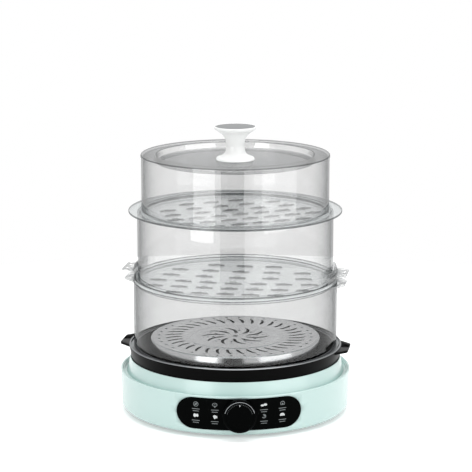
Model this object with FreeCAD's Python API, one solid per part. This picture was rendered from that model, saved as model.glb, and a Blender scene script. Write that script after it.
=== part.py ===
import FreeCAD, Part
import math
import os

Vector = FreeCAD.Vector

# Three-tier electric food steamer. +Z is up, the origin is on the table under
# the middle of the base, the control panel faces -Y. All sizes in millimetres.

# Fits
LIFT_FIT = 0.6          # radial play of a piece that lifts off
SLIDE_FIT = 0.4         # radial play of a sprung piece
SHAFT_FIT = 0.05        # radial play of the knob shaft
SEAT_FIT = 0.2          # play round a piece that is fixed in its seat

# Base casing
BASE_RADIUS = 150.0
BASE_HEIGHT = 52.0
BASE_DRAFT = 1.5        # how far the wall leans in at the bottom
BASE_WALL = 3.0
BASE_ROUND = 9.0
RIM_ROUND = 1.0
LEDGE_DROP = 6.5        # from the rim down to the ledge that carries the ring
LEDGE_WIDTH = 5.5
LEDGE_THICK = 2.5

# Feet and bottom cover
FOOT_HEIGHT = 4.0
FOOT_RADIUS = 9.0
FOOT_INSET = 34.0       # from the casing's outer radius to the feet's circle
FOOT_COUNT = 4
FOOT_NECK = 3.0
FOOT_HEAD = 4.4
FOOT_HEAD_HEIGHT = 1.5
COVER_MARGIN = 14.0     # from the casing's outer radius to the cover's opening
COVER_THICK = 2.5
COVER_SCREW_INSET = 8.0
COVER_SCREW_ANGLES = (45.0, 135.0, 225.0, 315.0)
COVER_BOSS_RADIUS = 4.5
COVER_BOSS_HEIGHT = 15.0
RIB_THICK = 3.0
VENT_COUNT = 15
VENT_INSET = 54.0       # from the casing's outer radius to the vents' circle
VENT_LENGTH = 22.0
VENT_WIDTH = 3.0

# Screws
SCREW_RADIUS = 1.5
SCREW_HEAD_RADIUS = 3.0
SCREW_HEAD = 1.8
SCREW_BITE = 8.0        # length of thread below the seat
SCREW_PLAY = 0.05

# Ring round the pan
RING_INSET = 13.8       # from the casing's outer radius to the ring's mouth
RING_RISE = 14.9        # above the casing's rim
RING_WALL = 2.5
RING_LIP_DROP = 1.0
TROUGH_DEPTH = 4.0
TROUGH_WIDTH = 3.4
COVE_BEND = (3.6, 5.0)  # the cove's bend: out from the mouth, above the rim
COVE_ROUND = 14.0
RING_BOSS_RADIUS = 3.2
RING_SCREW_INSET = 2.0      # from the ring's mouth out to its screws
RING_BOSS_COUNT = 4
RING_SKIRT_DROP = 6.0   # from the rim down to the foot of the inner skirt

# Well liner
LINER_THICK = 0.8
LINER_TOP_GAP = 9.0     # liner wall to ring mouth, at the top
LINER_FOOT_INSET = 18.2 # from the ring's mouth
LINER_MOUTH_PLAY = 3.0  # liner floor's opening round the heating plate

# Heating plate and what it stands on
PLATE_INSET = 51.2      # from the ring's mouth to the plate's edge
PLATE_THICK = 6.0
PLATE_DROP = 26.0       # from the rim down to the plate's top
POST_INSET = 11.0       # from the plate's edge
POST_COUNT = 3
POST_RADIUS = 3.5
POST_COLLAR_RADIUS = 6.0
SHIELD_DROP = 10.2      # from the plate's underside to the shield's top
SHIELD_THICK = 0.8
SHIELD_REACH = 7.0      # beyond the plate's edge
ELEMENT_SHARE = 0.68    # of the plate's radius
ELEMENT_TUBE = 3.3
ELEMENT_GAP_ANGLE = 40.0
TERMINAL_RADIUS = 2.0
TERMINAL_LENGTH = 9.0
FUSE_SIZE = (12.0, 6.0, 4.0)
FUSE_SHARE = 0.42       # of the plate's radius

# Temperature sensor under the pan
SENSOR_RADIUS = 10.0
SENSOR_HEIGHT = 9.0
SENSOR_WALL = 1.2
SENSOR_CUP_WALL = 1.0
SENSOR_CUP_DEPTH = 15.0
SENSOR_FLANGE = 18.0
SENSOR_FLANGE_THICK = 1.2
SPRING_RADIUS = 6.4
SPRING_WIRE = 0.6
SPRING_TURNS = 6

# Control panel, knob and board
PANEL_HALF_WIDTH = 78.0
PANEL_HEIGHT = 40.7
PANEL_DROP = 23.3       # from the rim down to the middle of the panel
PANEL_PROUD = 0.3
PANEL_POCKET = 1.4
LED_COLUMNS = (-54.2, -30.7, 30.7, 54.2)
LED_DROPS = (12.0, 27.5)    # from the rim down to each row of lights
LED_SIZE = 3.0
LED_THICK = 1.2
PIPE_RADIUS = 2.4
BOARD_MARGIN = 1.8      # from the outer lights' middle to the board's end
BOARD_FACE = 17.0       # from the casing's outer radius to the board's face
BOARD_THICK = 1.6
BOARD_TOP_DROP = 9.6
BOARD_BOTTOM_DROP = 40.0
BOARD_SCREW_INSET = 13.5    # from the board's end
BOARD_SCREW_RISE = 11.0     # above and below the panel's middle
BOARD_BOSS_RADIUS = 3.0
ENCODER_SIZE = 13.0
ENCODER_DEPTH = 7.0
BUSH_RADIUS = 3.5
SHAFT_RADIUS = 3.0
PLUNGER_RADIUS = 4.4
PLUNGER_THICK = 2.4
PRESS_TRAVEL = 0.8
NUT_ACROSS = 10.0
NUT_THICK = 2.0
KNOB_RADIUS = 21.5
KNOB_GAP = 1.2
KNOB_DEPTH = 8.6
KNOB_BEVEL = 2.4
KNOB_RECESS_RADIUS = 17.5
KNOB_RECESS = 3.0
KNOB_FACE_RADIUS = 17.0
KNOB_FACE_THICK = 0.8
KNOB_GRIP = 4.2         # depth of the shaft's hole in the knob

# Power board, wiring and inlet
POWER_REACH = 30.0      # from the casing's outer radius to the board's middle
POWER_WIDTH = 26.0
POWER_LENGTH = 70.0
POWER_THICK = 1.6
POWER_STANDOFF = 7.5
POWER_INSET = 5.0
TRANSFORMER = (10.0, 13.0)  # width and height; its length fills the room left
RELAY = (10.0, 15.0, 11.0)
CAPACITOR = (3.2, 6.0)
CHOKE = (3.0, 5.0)
HEATER_TERMINAL = (6.0, 8.0, 6.6)
TERMINAL_BLOCK = 12.0   # length and width
PART_EDGE = 1.0         # from the board's edge to the tall parts
PART_GAP = 2.0          # between the parts along the board
PART_INSET = 9.0        # from the board's inner edge to the round parts
WIRE_RADIUS = 1.6
WIRE_INSET = 13.0       # from the casing's outer radius to the wires' circle
WIRE_HEIGHTS = (22.0, 29.0)     # above the casing's underside
RIBBON_THICK = 0.9
RIBBON_WIDTH = 11.0
PLUG_HEIGHT = 26.0      # inlet's middle, above the casing's underside
INLET_WIDTH = 28.0
INLET_TALL = 20.0
INLET_FLANGE = 3.0
INLET_DEPTH = 22.0      # inside the casing
INLET_CAVITY = (24.0, 16.0, 18.0)
INLET_ROUND = 3.0
PIN_SIZE = (2.0, 4.0)
PIN_SPREAD = 7.0
PIN_OFFSET = 3.0
PIN_LENGTH = 16.0
TAB_REACH = 8.0

# Pan
PAN_OVERLAP = 2.8       # of the pan's rim over the ring's mouth
PAN_DEPTH = 55.0
PAN_FLOOR = 3.2
PAN_BEVEL = 1.2
PAN_LEDGE_DROP = 1.6    # from the pan's rim to the ledge under the first tier
PAN_LEDGE_INSET = 2.6   # from the rim's outer radius
PAN_MOUTH_INSET = 11.0  # from the rim's outer radius
PAN_FOOT_INSET = 30.5   # from the rim's outer radius
PAN_WALL = 3.5
PAN_SHELF = 4.0
PAN_SKIRT_DEPTH = 20.0
PAN_SKIRT_LEAN = 3.6
PAN_SKIRT_THICK = 3.2
PAN_ROUND = 12.0
PAN_LUG_REACH = 11.0    # beyond the rim
PAN_LUG_ROOT_HALF = 34.0
PAN_LUG_TIP_HALF = 19.0
PAN_LUG_THICK = 3.0
PAN_LUG_DROP = 1.4
PAN_LUG_DIMPLE = 5.0

LUG_TURN = -11.0        # the lugs' axis, from +X

# Steaming rack
RACK_REACH = 1.9        # beyond the pan's foot
RACK_HEIGHT = 62.9      # above the pan's floor
RACK_THICK = 0.9
RACK_SKIRT = 16.0
RACK_FLARE = 2.0
RACK_ROUND = 3.0
RACK_SLOTS = 36
RACK_SLOT_INSETS = (41.4, 17.4)     # from the rack's edge to the slots' ends
RACK_SLOT_WIDTH = 4.0
RACK_SWIRL = 2.7                # degrees that a slot's outer end is turned
RACK_HOLE_INSET = 10.4  # from the rack's edge
RACK_HOLE = 1.9
RACK_ARMS = 10
RACK_ARM = (15.0, 45.0, 5.0)
RACK_ARM_SWIRL = 12.0
RACK_ARM_START = 96.0
RACK_DOTS = ((29.0, 2.0), (36.8, 1.3), (42.7, 1.1))
RACK_EYE = 3.5
LEG_COUNT = 4
LEG_WIDTH = 14.0
LEG_THICK = 1.2
LEG_TOP_INSET = 4.4     # from the rack's edge
LEG_FOOT_INSET = 16.5   # from the pan's foot
LEG_FLANGE = 9.0

# First tier
TIER_WALL = 2.3
TIER_ONE_INSET = 3.9    # from the pan's ledge
TIER_ONE_HEIGHT = 85.9
TIER_LUG_REACH = 13.0   # beyond the tier's wall
TIER_LUG_THICK = 2.2
LUG_ROOT_ANGLE = 15.0
TIER_LUG_TIP_ANGLE = 6.0
TIER_LUG_HOLE_REACH = 8.5
LUG_HOLE = 1.8
LUG_ROUND = 4.0
GUSSET_REACH = 5.5
GUSSET_TALL = 12.8
GUSSET_THICK = 2.4

# Middle tray
TRAY_RIM_THICK = 2.0
TRAY_FLANGE = 1.8
TRAY_RIM_RISE = 3.1
TRAY_FLOOR_DROP = 1.6   # below the flange's top
TRAY_THICK = 2.0
TRAY_DISH = 2.5
TRAY_DISH_INSET = 9.5   # from the first tier's outer radius
TRAY_GUIDE = 1.6
TRAY_GUIDE_DEPTH = 4.0
GUARD_HALF_ANGLE = 18.0
GUARD_RISE = 13.6       # above the rim
TRAY_LUG_REACH = 16.0   # beyond the first tier's outer radius
TRAY_LUG_TIP_ANGLE = 8.5
TRAY_LUG_RISE = 8.1     # the lug's top above the rim
TRAY_LUG_HOLE_REACH = 10.2
TRAY_LUG_HOLE_PITCH = 6.3
SLOT_FIELD = 123.0      # radius of the dish that the rows are laid out for
# Each row of slots: distance from the middle and spacing, and then the number.
SLOT_ROWS = (
    (82.5, 39.0), (49.5, 41.0), (16.5, 44.0), (-16.5, 33.0), (-49.5, 32.5), (-82.5, 32.5),
)
SLOT_COUNTS = (3, 5, 5, 7, 7, 5)
SLOT_LENGTH = 22.0
SLOT_WIDTH = 2.6
SLOT_EYE = 3.0          # radius of the round hole in the middle of a slot

# Second tier
TIER_TWO_INSET = 5.5    # from the first tier's outer radius
TIER_TWO_HEIGHT = 88.9

# Upper tray
UPPER_FLANGE_REACH = 11.2       # beyond the second tier's wall
UPPER_FLANGE = 2.4
UPPER_RING_INSET = 1.6  # from the second tier's outer radius
UPPER_RING_THICK = 2.0
UPPER_RING_RISE = 1.9
UPPER_FLOOR_DROP = 4.0
UPPER_DISH_INSET = 10.5 # from the second tier's outer radius
UPPER_THICK = 2.0
UPPER_GUIDE_DEPTH = 3.4
UPPER_SHRINK = 0.97     # the slot pattern's size to its dish
UPPER_TURN = 34.0       # the slot pattern's turn from the lugs' axis

# Lid
LID_GAP = 2.1           # from the upper tray's ring in to the lid
LID_WALL = 2.3
LID_HEIGHT = 72.2
LID_BEAD = 0.7
LID_BEAD_TALL = 3.5
LID_ROUND = 1.6
LID_DISH_INSET = 18.9   # from the lid's outer radius
LID_DISH_DEPTH = 8.0
LID_DISH_LEAN = 1.6
LID_VENT = (16.0, 3.4)
LID_VENT_INSET = 13.3   # from the lid's outer radius
LID_VENT_ANGLE = 75.0
KNOB_FOOT_RADIUS = 25.4
KNOB_WAIST_RADIUS = 11.8
KNOB_FOOT_HEIGHT = 17.9
KNOB_TOP_RADIUS = 27.0
KNOB_TOP_HEIGHT = 25.5
KNOB_FLARE = 18.0       # rounding of the knob's flank
KNOB_RIM = 1.6
CAP_LAND = 1.4          # width of the knob's edge round the cap
CAP_THICK = 1.2
LID_SCREW_RADIUS = 2.0
LID_SCREW_HEAD = 4.5
LID_SCREW_GRIP = 8.0
WASHER_RADIUS = 7.0
WASHER_THICK = 1.2

# Radii that follow from the sizes above, from the casing inwards
FOOT_CIRCLE = BASE_RADIUS - FOOT_INSET
VENT_CIRCLE = BASE_RADIUS - VENT_INSET
WIRE_CIRCLE = BASE_RADIUS - WIRE_INSET
POWER_RADIUS = BASE_RADIUS - POWER_REACH
RING_MOUTH = BASE_RADIUS - RING_INSET
LINER_FOOT_RADIUS = RING_MOUTH - LINER_FOOT_INSET
PLATE_RADIUS = RING_MOUTH - PLATE_INSET
POST_CIRCLE = PLATE_RADIUS - POST_INSET
SHIELD_RADIUS = PLATE_RADIUS + SHIELD_REACH
ELEMENT_CIRCLE = ELEMENT_SHARE * PLATE_RADIUS
FUSE_CIRCLE = FUSE_SHARE * PLATE_RADIUS
PAN_RIM_RADIUS = RING_MOUTH + PAN_OVERLAP
PAN_LEDGE_RADIUS = PAN_RIM_RADIUS - PAN_LEDGE_INSET
PAN_MOUTH = PAN_RIM_RADIUS - PAN_MOUTH_INSET
PAN_FOOT_RADIUS = PAN_RIM_RADIUS - PAN_FOOT_INSET
PAN_LUG_TIP = PAN_RIM_RADIUS + PAN_LUG_REACH
RACK_RADIUS = PAN_FOOT_RADIUS + RACK_REACH
RACK_SLOT = (RACK_RADIUS - RACK_SLOT_INSETS[0], RACK_RADIUS - RACK_SLOT_INSETS[1], RACK_SLOT_WIDTH)
RACK_HOLE_CIRCLE = RACK_RADIUS - RACK_HOLE_INSET
LEG_TOP_RADIUS = RACK_RADIUS - LEG_TOP_INSET
LEG_FOOT_RADIUS = PAN_FOOT_RADIUS - LEG_FOOT_INSET
TIER_ONE_RADIUS = PAN_LEDGE_RADIUS - TIER_ONE_INSET
TIER_LUG_TIP = TIER_ONE_RADIUS + TIER_LUG_REACH
TIER_LUG_HOLE_CIRCLE = TIER_ONE_RADIUS + TIER_LUG_HOLE_REACH
TRAY_DISH_RADIUS = TIER_ONE_RADIUS - TRAY_DISH_INSET
TRAY_LUG_TIP = TIER_ONE_RADIUS + TRAY_LUG_REACH
TRAY_LUG_HOLE_CIRCLE = TIER_ONE_RADIUS + TRAY_LUG_HOLE_REACH
TIER_TWO_RADIUS = TIER_ONE_RADIUS - TIER_TWO_INSET
UPPER_FLANGE_RADIUS = TIER_TWO_RADIUS + UPPER_FLANGE_REACH
UPPER_RING_RADIUS = TIER_TWO_RADIUS - UPPER_RING_INSET
UPPER_DISH_RADIUS = TIER_TWO_RADIUS - UPPER_DISH_INSET
LID_RADIUS = UPPER_RING_RADIUS - UPPER_RING_THICK - LID_GAP
LID_DISH_RADIUS = LID_RADIUS - LID_DISH_INSET
LID_VENT_CIRCLE = LID_RADIUS - LID_VENT_INSET
CAP_RADIUS = KNOB_TOP_RADIUS - CAP_LAND
BOARD_HALF_WIDTH = LED_COLUMNS[-1] + BOARD_MARGIN
BOARD_SCREW_X = BOARD_HALF_WIDTH - BOARD_SCREW_INSET

# Heights that follow from the sizes above
BASE_FLOOR = FOOT_HEIGHT
BASE_RIM = BASE_FLOOR + BASE_HEIGHT
LEDGE_TOP = BASE_RIM - LEDGE_DROP
COVER_TOP = BASE_FLOOR + COVER_THICK
HEATER_TOP = BASE_RIM - PLATE_DROP
HEATER_UNDER = HEATER_TOP - PLATE_THICK
PANEL_Z = BASE_RIM - PANEL_DROP
PAN_UNDER = HEATER_TOP
PAN_INSIDE = PAN_UNDER + PAN_FLOOR
PAN_RIM = PAN_INSIDE + PAN_DEPTH
PAN_LEDGE = PAN_RIM - PAN_LEDGE_DROP
RACK_TOP = PAN_INSIDE + RACK_HEIGHT
TIER_ONE_TOP = PAN_LEDGE + TIER_ONE_HEIGHT
TRAY_FACE = TIER_ONE_TOP + TRAY_FLANGE
TRAY_RIM = TRAY_FACE + TRAY_RIM_RISE
TIER_TWO_TOP = TRAY_FACE + TIER_TWO_HEIGHT
UPPER_FACE = TIER_TWO_TOP + UPPER_FLANGE
LID_TOP = UPPER_FACE + LID_HEIGHT
LID_DISH = LID_TOP - LID_DISH_DEPTH
KNOB_JOINT = LID_DISH + KNOB_FOOT_HEIGHT
KNOB_CROWN = KNOB_JOINT + KNOB_TOP_HEIGHT

AXIS = Vector(0, 0, 1)
ORIGIN = Vector(0, 0, 0)


def outline(corners, place):
    """Closed wire through corners (a, b, rounding); place turns (a, b) into a point."""
    count = len(corners)
    runs = []
    for index, (a, b, radius) in enumerate(corners):
        here = place(a, b)
        if radius == 0:
            runs.append((here, None, here))
            continue
        to_before = (place(*corners[index - 1][:2]) - here).normalize()
        to_after = (place(*corners[(index + 1) % count][:2]) - here).normalize()
        half = to_before.getAngle(to_after) / 2
        back = radius / math.tan(half)
        bisector = (to_before + to_after).normalize()
        middle = here + bisector * (radius / math.sin(half) - radius)
        runs.append((here + to_before * back, middle, here + to_after * back))
    edges = []
    for index, (start, middle, end) in enumerate(runs):
        if middle is not None:
            edges.append(Part.Arc(start, middle, end).toShape())
        following = runs[(index + 1) % count][0]
        if end.distanceToPoint(following) > 1e-6:
            edges.append(Part.LineSegment(end, following).toShape())
    return Part.Wire(edges)


def turned(corners):
    """Solid turned about +Z from a section of (radius, height, rounding) corners."""
    wire = outline(corners, lambda a, b: Vector(a, 0, b))
    return Part.Face(wire).revolve(ORIGIN, AXIS, 360)


def slab(corners, low, high):
    """Flat plate between two heights, outlined by (x, y, rounding) corners."""
    wire = outline(corners, lambda a, b: Vector(a, b, low))
    return Part.Face(wire).extrude(Vector(0, 0, high - low))


def tube(outer, inner, low, high):
    return turned([(inner, low, 0), (outer, low, 0), (outer, high, 0), (inner, high, 0)])


def disc(radius, low, high, x=0.0, y=0.0):
    return Part.makeCylinder(radius, high - low, Vector(x, y, low))


def rod(radius, start, end):
    start = Vector(*start)
    run = Vector(*end) - start
    return Part.makeCylinder(radius, run.Length, start, run)


def block(x, y, z):
    """Box from the (low, high) pairs of its three sides."""
    return Part.makeBox(x[1] - x[0], y[1] - y[0], z[1] - z[0], Vector(x[0], y[0], z[0]))


def at_angle(shape, angle):
    copy = shape.copy()
    copy.rotate(ORIGIN, AXIS, angle)
    return copy


def spread(shape, count, start=0.0):
    return [at_angle(shape, start + 360.0 * index / count) for index in range(count)]


def polar(radius, angle):
    return (radius * math.cos(math.radians(angle)), radius * math.sin(math.radians(angle)))


def joined(shapes):
    return shapes[0].fuse(list(shapes[1:])).removeSplitter()


def cut(shape, tools):
    return shape.cut(Part.makeCompound(tools))


def group(solids):
    return Part.makeCompound(solids)


def pill(length, width, low, high):
    """Slot-shaped plate along X, centred on the origin."""
    run = (length - width) / 2
    parts = [
        block((-run, run), (-width / 2, width / 2), (low, high)),
        disc(width / 2, low, high, -run),
        disc(width / 2, low, high, run),
    ]
    return joined(parts)


def wedge(half_angle, reach, low, high):
    """Sector about the +X axis, from the middle out to a reach."""
    x, y = polar(reach, half_angle)
    return slab([(0, 0, 0), (x, -y, 0), (x, y, 0)], low, high)


def wall_radius(z, inset=0.0):
    """Radius of the casing's outer wall at a height, less an inset."""
    return BASE_RADIUS - BASE_DRAFT * (BASE_RIM - z) / BASE_HEIGHT - inset


def wall_core(inset):
    """Solid that fills the casing up to an inset from its outer wall."""
    return turned([
        (0, BASE_FLOOR, 0),
        (wall_radius(BASE_FLOOR, inset), BASE_FLOOR, 0),
        (wall_radius(BASE_RIM, inset), BASE_RIM, 0),
        (0, BASE_RIM, 0),
    ])


def panel_prism(play):
    """Pill that stands in front of the casing, as the panel is seen from -Y."""
    prism = pill(2 * (PANEL_HALF_WIDTH + play), PANEL_HEIGHT + 2 * play, 0, BASE_RADIUS)
    prism.rotate(ORIGIN, Vector(1, 0, 0), 90)
    prism.translate(Vector(0, -BASE_RADIUS / 2, PANEL_Z))
    return prism


def along_y(radius, start, end, x, z):
    return rod(radius, (x, start, z), (x, end, z))


PANEL_FRONT = -wall_radius(PANEL_Z, -PANEL_PROUD)
BOARD_Y = -(BASE_RADIUS - BOARD_FACE)
BOARD_BACK = BOARD_Y + BOARD_THICK
KNOB_BACK = -wall_radius(PANEL_Z + KNOB_RADIUS, -PANEL_PROUD) - KNOB_GAP
KNOB_FRONT = KNOB_BACK - KNOB_DEPTH
KNOB_SEAT = KNOB_BACK - KNOB_RECESS
SHAFT_TIP = KNOB_SEAT - KNOB_GRIP
PLUNGER_BACK = BOARD_Y - SEAT_FIT - PRESS_TRAVEL - SEAT_FIT
PLUNGER_FRONT = PLUNGER_BACK - PLUNGER_THICK
NUT_SEAT = PANEL_FRONT - SEAT_FIT
LIGHTS = [(x, BASE_RIM - drop) for x in LED_COLUMNS for drop in LED_DROPS]
BOARD_SCREWS = [
    (x, PANEL_Z + rise)
    for x in (-BOARD_SCREW_X, BOARD_SCREW_X)
    for rise in (-BOARD_SCREW_RISE, BOARD_SCREW_RISE)
]
INLET_Z = BASE_FLOOR + PLUG_HEIGHT
INLET_OUT = -KNOB_FRONT     # the inlet's collar stands out as far as the knob
INLET_IN = BASE_RADIUS - INLET_DEPTH
COVER_OPENING = BASE_RADIUS - COVER_MARGIN
COVER_SCREW_CIRCLE = COVER_OPENING - COVER_SCREW_INSET
POWER_Z = COVER_TOP + POWER_STANDOFF
RING_SCREW_CIRCLE = RING_MOUTH + RING_SCREW_INSET
RING_RADIUS = wall_radius(LEDGE_TOP, BASE_WALL) - SEAT_FIT


def base_shell():
    ledge = BASE_RADIUS - BASE_WALL - LEDGE_WIDTH
    ledge_under = LEDGE_TOP - LEDGE_THICK
    shell = turned([
        (COVER_OPENING, BASE_FLOOR, 0),
        (wall_radius(BASE_FLOOR), BASE_FLOOR, BASE_ROUND),
        (BASE_RADIUS, BASE_RIM, RIM_ROUND),
        (BASE_RADIUS - BASE_WALL, BASE_RIM, RIM_ROUND),
        (wall_radius(LEDGE_TOP, BASE_WALL), LEDGE_TOP, 0),
        (ledge, LEDGE_TOP, 0),
        (ledge, ledge_under, 0),
        (wall_radius(ledge_under, BASE_WALL), ledge_under, 0),
        (wall_radius(BASE_FLOOR, BASE_WALL), BASE_FLOOR + BASE_WALL, BASE_ROUND - BASE_WALL),
        (COVER_OPENING, BASE_FLOOR + BASE_WALL, 0),
    ])
    boss_top = COVER_TOP + COVER_BOSS_HEIGHT
    rib = block(
        (COVER_SCREW_CIRCLE, BASE_RADIUS),
        (-RIB_THICK / 2, RIB_THICK / 2),
        (BASE_FLOOR + BASE_WALL, boss_top),
    )
    boss = disc(COVER_BOSS_RADIUS, COVER_TOP, boss_top, COVER_SCREW_CIRCLE)
    core = wall_core(BASE_WALL / 2)
    pieces = [at_angle(part, angle) for angle in COVER_SCREW_ANGLES for part in (rib, boss)]
    for x, z in BOARD_SCREWS:
        pieces.append(along_y(BOARD_BOSS_RADIUS, BOARD_Y, -BASE_RADIUS, x, z))
    shell = joined([shell] + [piece.common(core) for piece in pieces])
    pocket = panel_prism(SEAT_FIT).cut(wall_core(PANEL_POCKET))
    holes = [pocket]
    for x, z in LIGHTS:
        holes.append(along_y(PIPE_RADIUS + SEAT_FIT, -BASE_RADIUS / 2, -BASE_RADIUS, x, z))
    holes.append(along_y(BUSH_RADIUS + SEAT_FIT, -BASE_RADIUS / 2, -BASE_RADIUS, 0, PANEL_Z))
    bite = BOARD_Y - SCREW_BITE + BOARD_THICK
    for x, z in BOARD_SCREWS:
        holes.append(along_y(SCREW_RADIUS + SCREW_PLAY, BOARD_Y, bite, x, z))
    screw_top = COVER_TOP + SCREW_BITE + 1.0
    screw_hole = disc(SCREW_RADIUS + SCREW_PLAY, BASE_FLOOR, screw_top, COVER_SCREW_CIRCLE)
    holes += [at_angle(screw_hole, angle) for angle in COVER_SCREW_ANGLES]
    half_width = INLET_WIDTH / 2 + SEAT_FIT
    half_tall = INLET_TALL / 2 + SEAT_FIT
    holes.append(block(
        (-half_width, half_width),
        (INLET_IN, BASE_RADIUS + 1.0),
        (INLET_Z - half_tall, INLET_Z + half_tall),
    ))
    return cut(shell, holes)


def ring_section(under):
    """Top surface of the ring, closed below by the corners given."""
    outer = RING_RADIUS
    lip = BASE_RIM - RING_LIP_DROP
    trough = BASE_RIM - TROUGH_DEPTH
    trough_out = outer - RING_WALL / 2
    bend_radius = RING_MOUTH + COVE_BEND[0]
    bend_rise = COVE_BEND[1]
    top = BASE_RIM + RING_RISE
    return turned(under + [
        (RING_MOUTH, top, RIM_ROUND / 2),
        (RING_MOUTH + RIM_ROUND * 1.4, top, RIM_ROUND / 2),
        (bend_radius, BASE_RIM + bend_rise, COVE_ROUND),
        (trough_out - TROUGH_WIDTH, trough, RIM_ROUND),
        (trough_out, trough, RIM_ROUND / 2),
        (trough_out, lip, 0),
        (outer, lip, 0),
    ])


def top_ring():
    outer = RING_RADIUS
    skirt = BASE_RIM - RING_SKIRT_DROP
    bend_radius = RING_MOUTH + COVE_BEND[0]
    bend_rise = COVE_BEND[1]
    inner_face = RING_MOUTH + RING_WALL
    shell = ring_section([
        (outer, LEDGE_TOP, 0),
        (inner_face + RING_WALL, LEDGE_TOP, 0),
        (inner_face, BASE_RIM + bend_rise - RING_WALL, 0),
        (inner_face, skirt, 0),
        (RING_MOUTH, skirt, 0),
    ])
    filled = ring_section([(outer, skirt, 0), (RING_MOUTH, skirt, 0)])
    boss = disc(RING_BOSS_RADIUS, skirt, BASE_RIM + bend_rise, RING_SCREW_CIRCLE).common(filled)
    hole_top = skirt + SCREW_BITE / 2
    hole = disc(SCREW_RADIUS + SCREW_PLAY, skirt - 1.0, hole_top, RING_SCREW_CIRCLE)
    ring = joined([shell] + spread(boss, RING_BOSS_COUNT, 45.0))
    return cut(ring, spread(hole, RING_BOSS_COUNT, 45.0))


def well_liner():
    flange = BASE_RIM - RING_SKIRT_DROP
    top_radius = RING_MOUTH - LINER_TOP_GAP
    foot = HEATER_UNDER
    mouth = PLATE_RADIUS + LINER_MOUTH_PLAY
    edge = RING_MOUTH + 2 * RING_WALL - 2 * SEAT_FIT
    liner = turned([
        (mouth, foot - LINER_THICK, 0),
        (LINER_FOOT_RADIUS + LINER_THICK, foot - LINER_THICK, LINER_THICK),
        (top_radius + LINER_THICK, flange - LINER_THICK, 0),
        (edge, flange - LINER_THICK, 0),
        (edge, flange, 0),
        (top_radius, flange, 0),
        (LINER_FOOT_RADIUS, foot, LINER_THICK),
        (mouth, foot, 0),
    ])
    hole = disc(SCREW_RADIUS + SCREW_PLAY, flange - 5.0, flange + 5.0, RING_SCREW_CIRCLE)
    return cut(liner, spread(hole, RING_BOSS_COUNT, 45.0))


def screw(x, seat, bite):
    """Screw with its head under a seat and its shank pointing up."""
    head = disc(SCREW_HEAD_RADIUS, seat - SCREW_HEAD, seat, x)
    return joined([head, disc(SCREW_RADIUS, seat, seat + bite, x)])


def liner_screws():
    seat = BASE_RIM - RING_SKIRT_DROP - LINER_THICK
    one = screw(RING_SCREW_CIRCLE, seat, SCREW_BITE / 2)
    return group(spread(one, RING_BOSS_COUNT, 45.0))


def power_corners():
    """Places of the power board's four screws."""
    x = POWER_WIDTH / 2 - POWER_INSET
    y = POWER_LENGTH / 2 - POWER_INSET
    return [(-POWER_RADIUS + a * x, b * y) for a in (-1, 1) for b in (-1, 1)]


def bottom_cover():
    plate = disc(COVER_OPENING - SEAT_FIT, BASE_FLOOR, COVER_TOP)
    standoffs = [disc(SCREW_HEAD_RADIUS, BASE_FLOOR, POWER_Z, x, y) for x, y in power_corners()]
    cover = joined([plate] + standoffs)
    vent = pill(VENT_LENGTH, VENT_WIDTH, BASE_FLOOR, COVER_TOP)
    vent.translate(Vector(VENT_CIRCLE - VENT_LENGTH, 0, 0))
    holes = spread(vent, VENT_COUNT, 180.0 / VENT_COUNT)
    holes += spread(disc(FOOT_NECK + SEAT_FIT, BASE_FLOOR, COVER_TOP, FOOT_CIRCLE), FOOT_COUNT)
    screw_hole = disc(SCREW_RADIUS + SEAT_FIT, BASE_FLOOR, COVER_TOP, COVER_SCREW_CIRCLE)
    sink = disc(SCREW_HEAD_RADIUS + SEAT_FIT, BASE_FLOOR, BASE_FLOOR + 1.0, COVER_SCREW_CIRCLE)
    holes += [at_angle(part, angle) for angle in COVER_SCREW_ANGLES for part in (screw_hole, sink)]
    post_hole = disc(SCREW_RADIUS + SEAT_FIT, BASE_FLOOR, COVER_TOP, POST_CIRCLE)
    holes += spread(post_hole, POST_COUNT)
    for x, y in power_corners():
        holes.append(disc(SCREW_RADIUS + SCREW_PLAY, COVER_TOP, POWER_Z, x, y))
    return cut(cover, holes)


def cover_screws():
    seat = BASE_FLOOR + 1.0
    one = screw(COVER_SCREW_CIRCLE, seat, SCREW_BITE + COVER_THICK - 1.0)
    return group([at_angle(one, angle) for angle in COVER_SCREW_ANGLES])


def rubber_feet():
    foot = joined([
        disc(FOOT_RADIUS, 0, BASE_FLOOR, FOOT_CIRCLE),
        disc(FOOT_NECK, BASE_FLOOR, COVER_TOP, FOOT_CIRCLE),
        disc(FOOT_HEAD, COVER_TOP, COVER_TOP + FOOT_HEAD_HEIGHT, FOOT_CIRCLE),
    ])
    return group(spread(foot, FOOT_COUNT))


def plate_posts():
    shield_under = HEATER_UNDER - SHIELD_DROP - SHIELD_THICK
    post = joined([
        disc(POST_COLLAR_RADIUS, COVER_TOP, shield_under, POST_CIRCLE),
        disc(POST_RADIUS, shield_under, HEATER_UNDER, POST_CIRCLE),
    ])
    bore = disc(SCREW_RADIUS + SCREW_PLAY, COVER_TOP, COVER_TOP + SCREW_BITE, POST_CIRCLE)
    return group(spread(post.cut(bore), POST_COUNT))


def post_screws():
    one = screw(POST_CIRCLE, BASE_FLOOR, SCREW_BITE + COVER_THICK - 1.0)
    return group(spread(one, POST_COUNT))


def heat_shield():
    top = HEATER_UNDER - SHIELD_DROP
    cup = SENSOR_RADIUS + SLIDE_FIT + SENSOR_CUP_WALL
    plate = tube(SHIELD_RADIUS, cup + SLIDE_FIT, top - SHIELD_THICK, top)
    lip = tube(SHIELD_RADIUS, SHIELD_RADIUS - SHIELD_THICK, top, top + 3.0)
    hole = disc(POST_RADIUS + SEAT_FIT, top - 2.0, top + 1.0, POST_CIRCLE)
    return cut(joined([plate, lip]), spread(hole, POST_COUNT))


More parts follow.
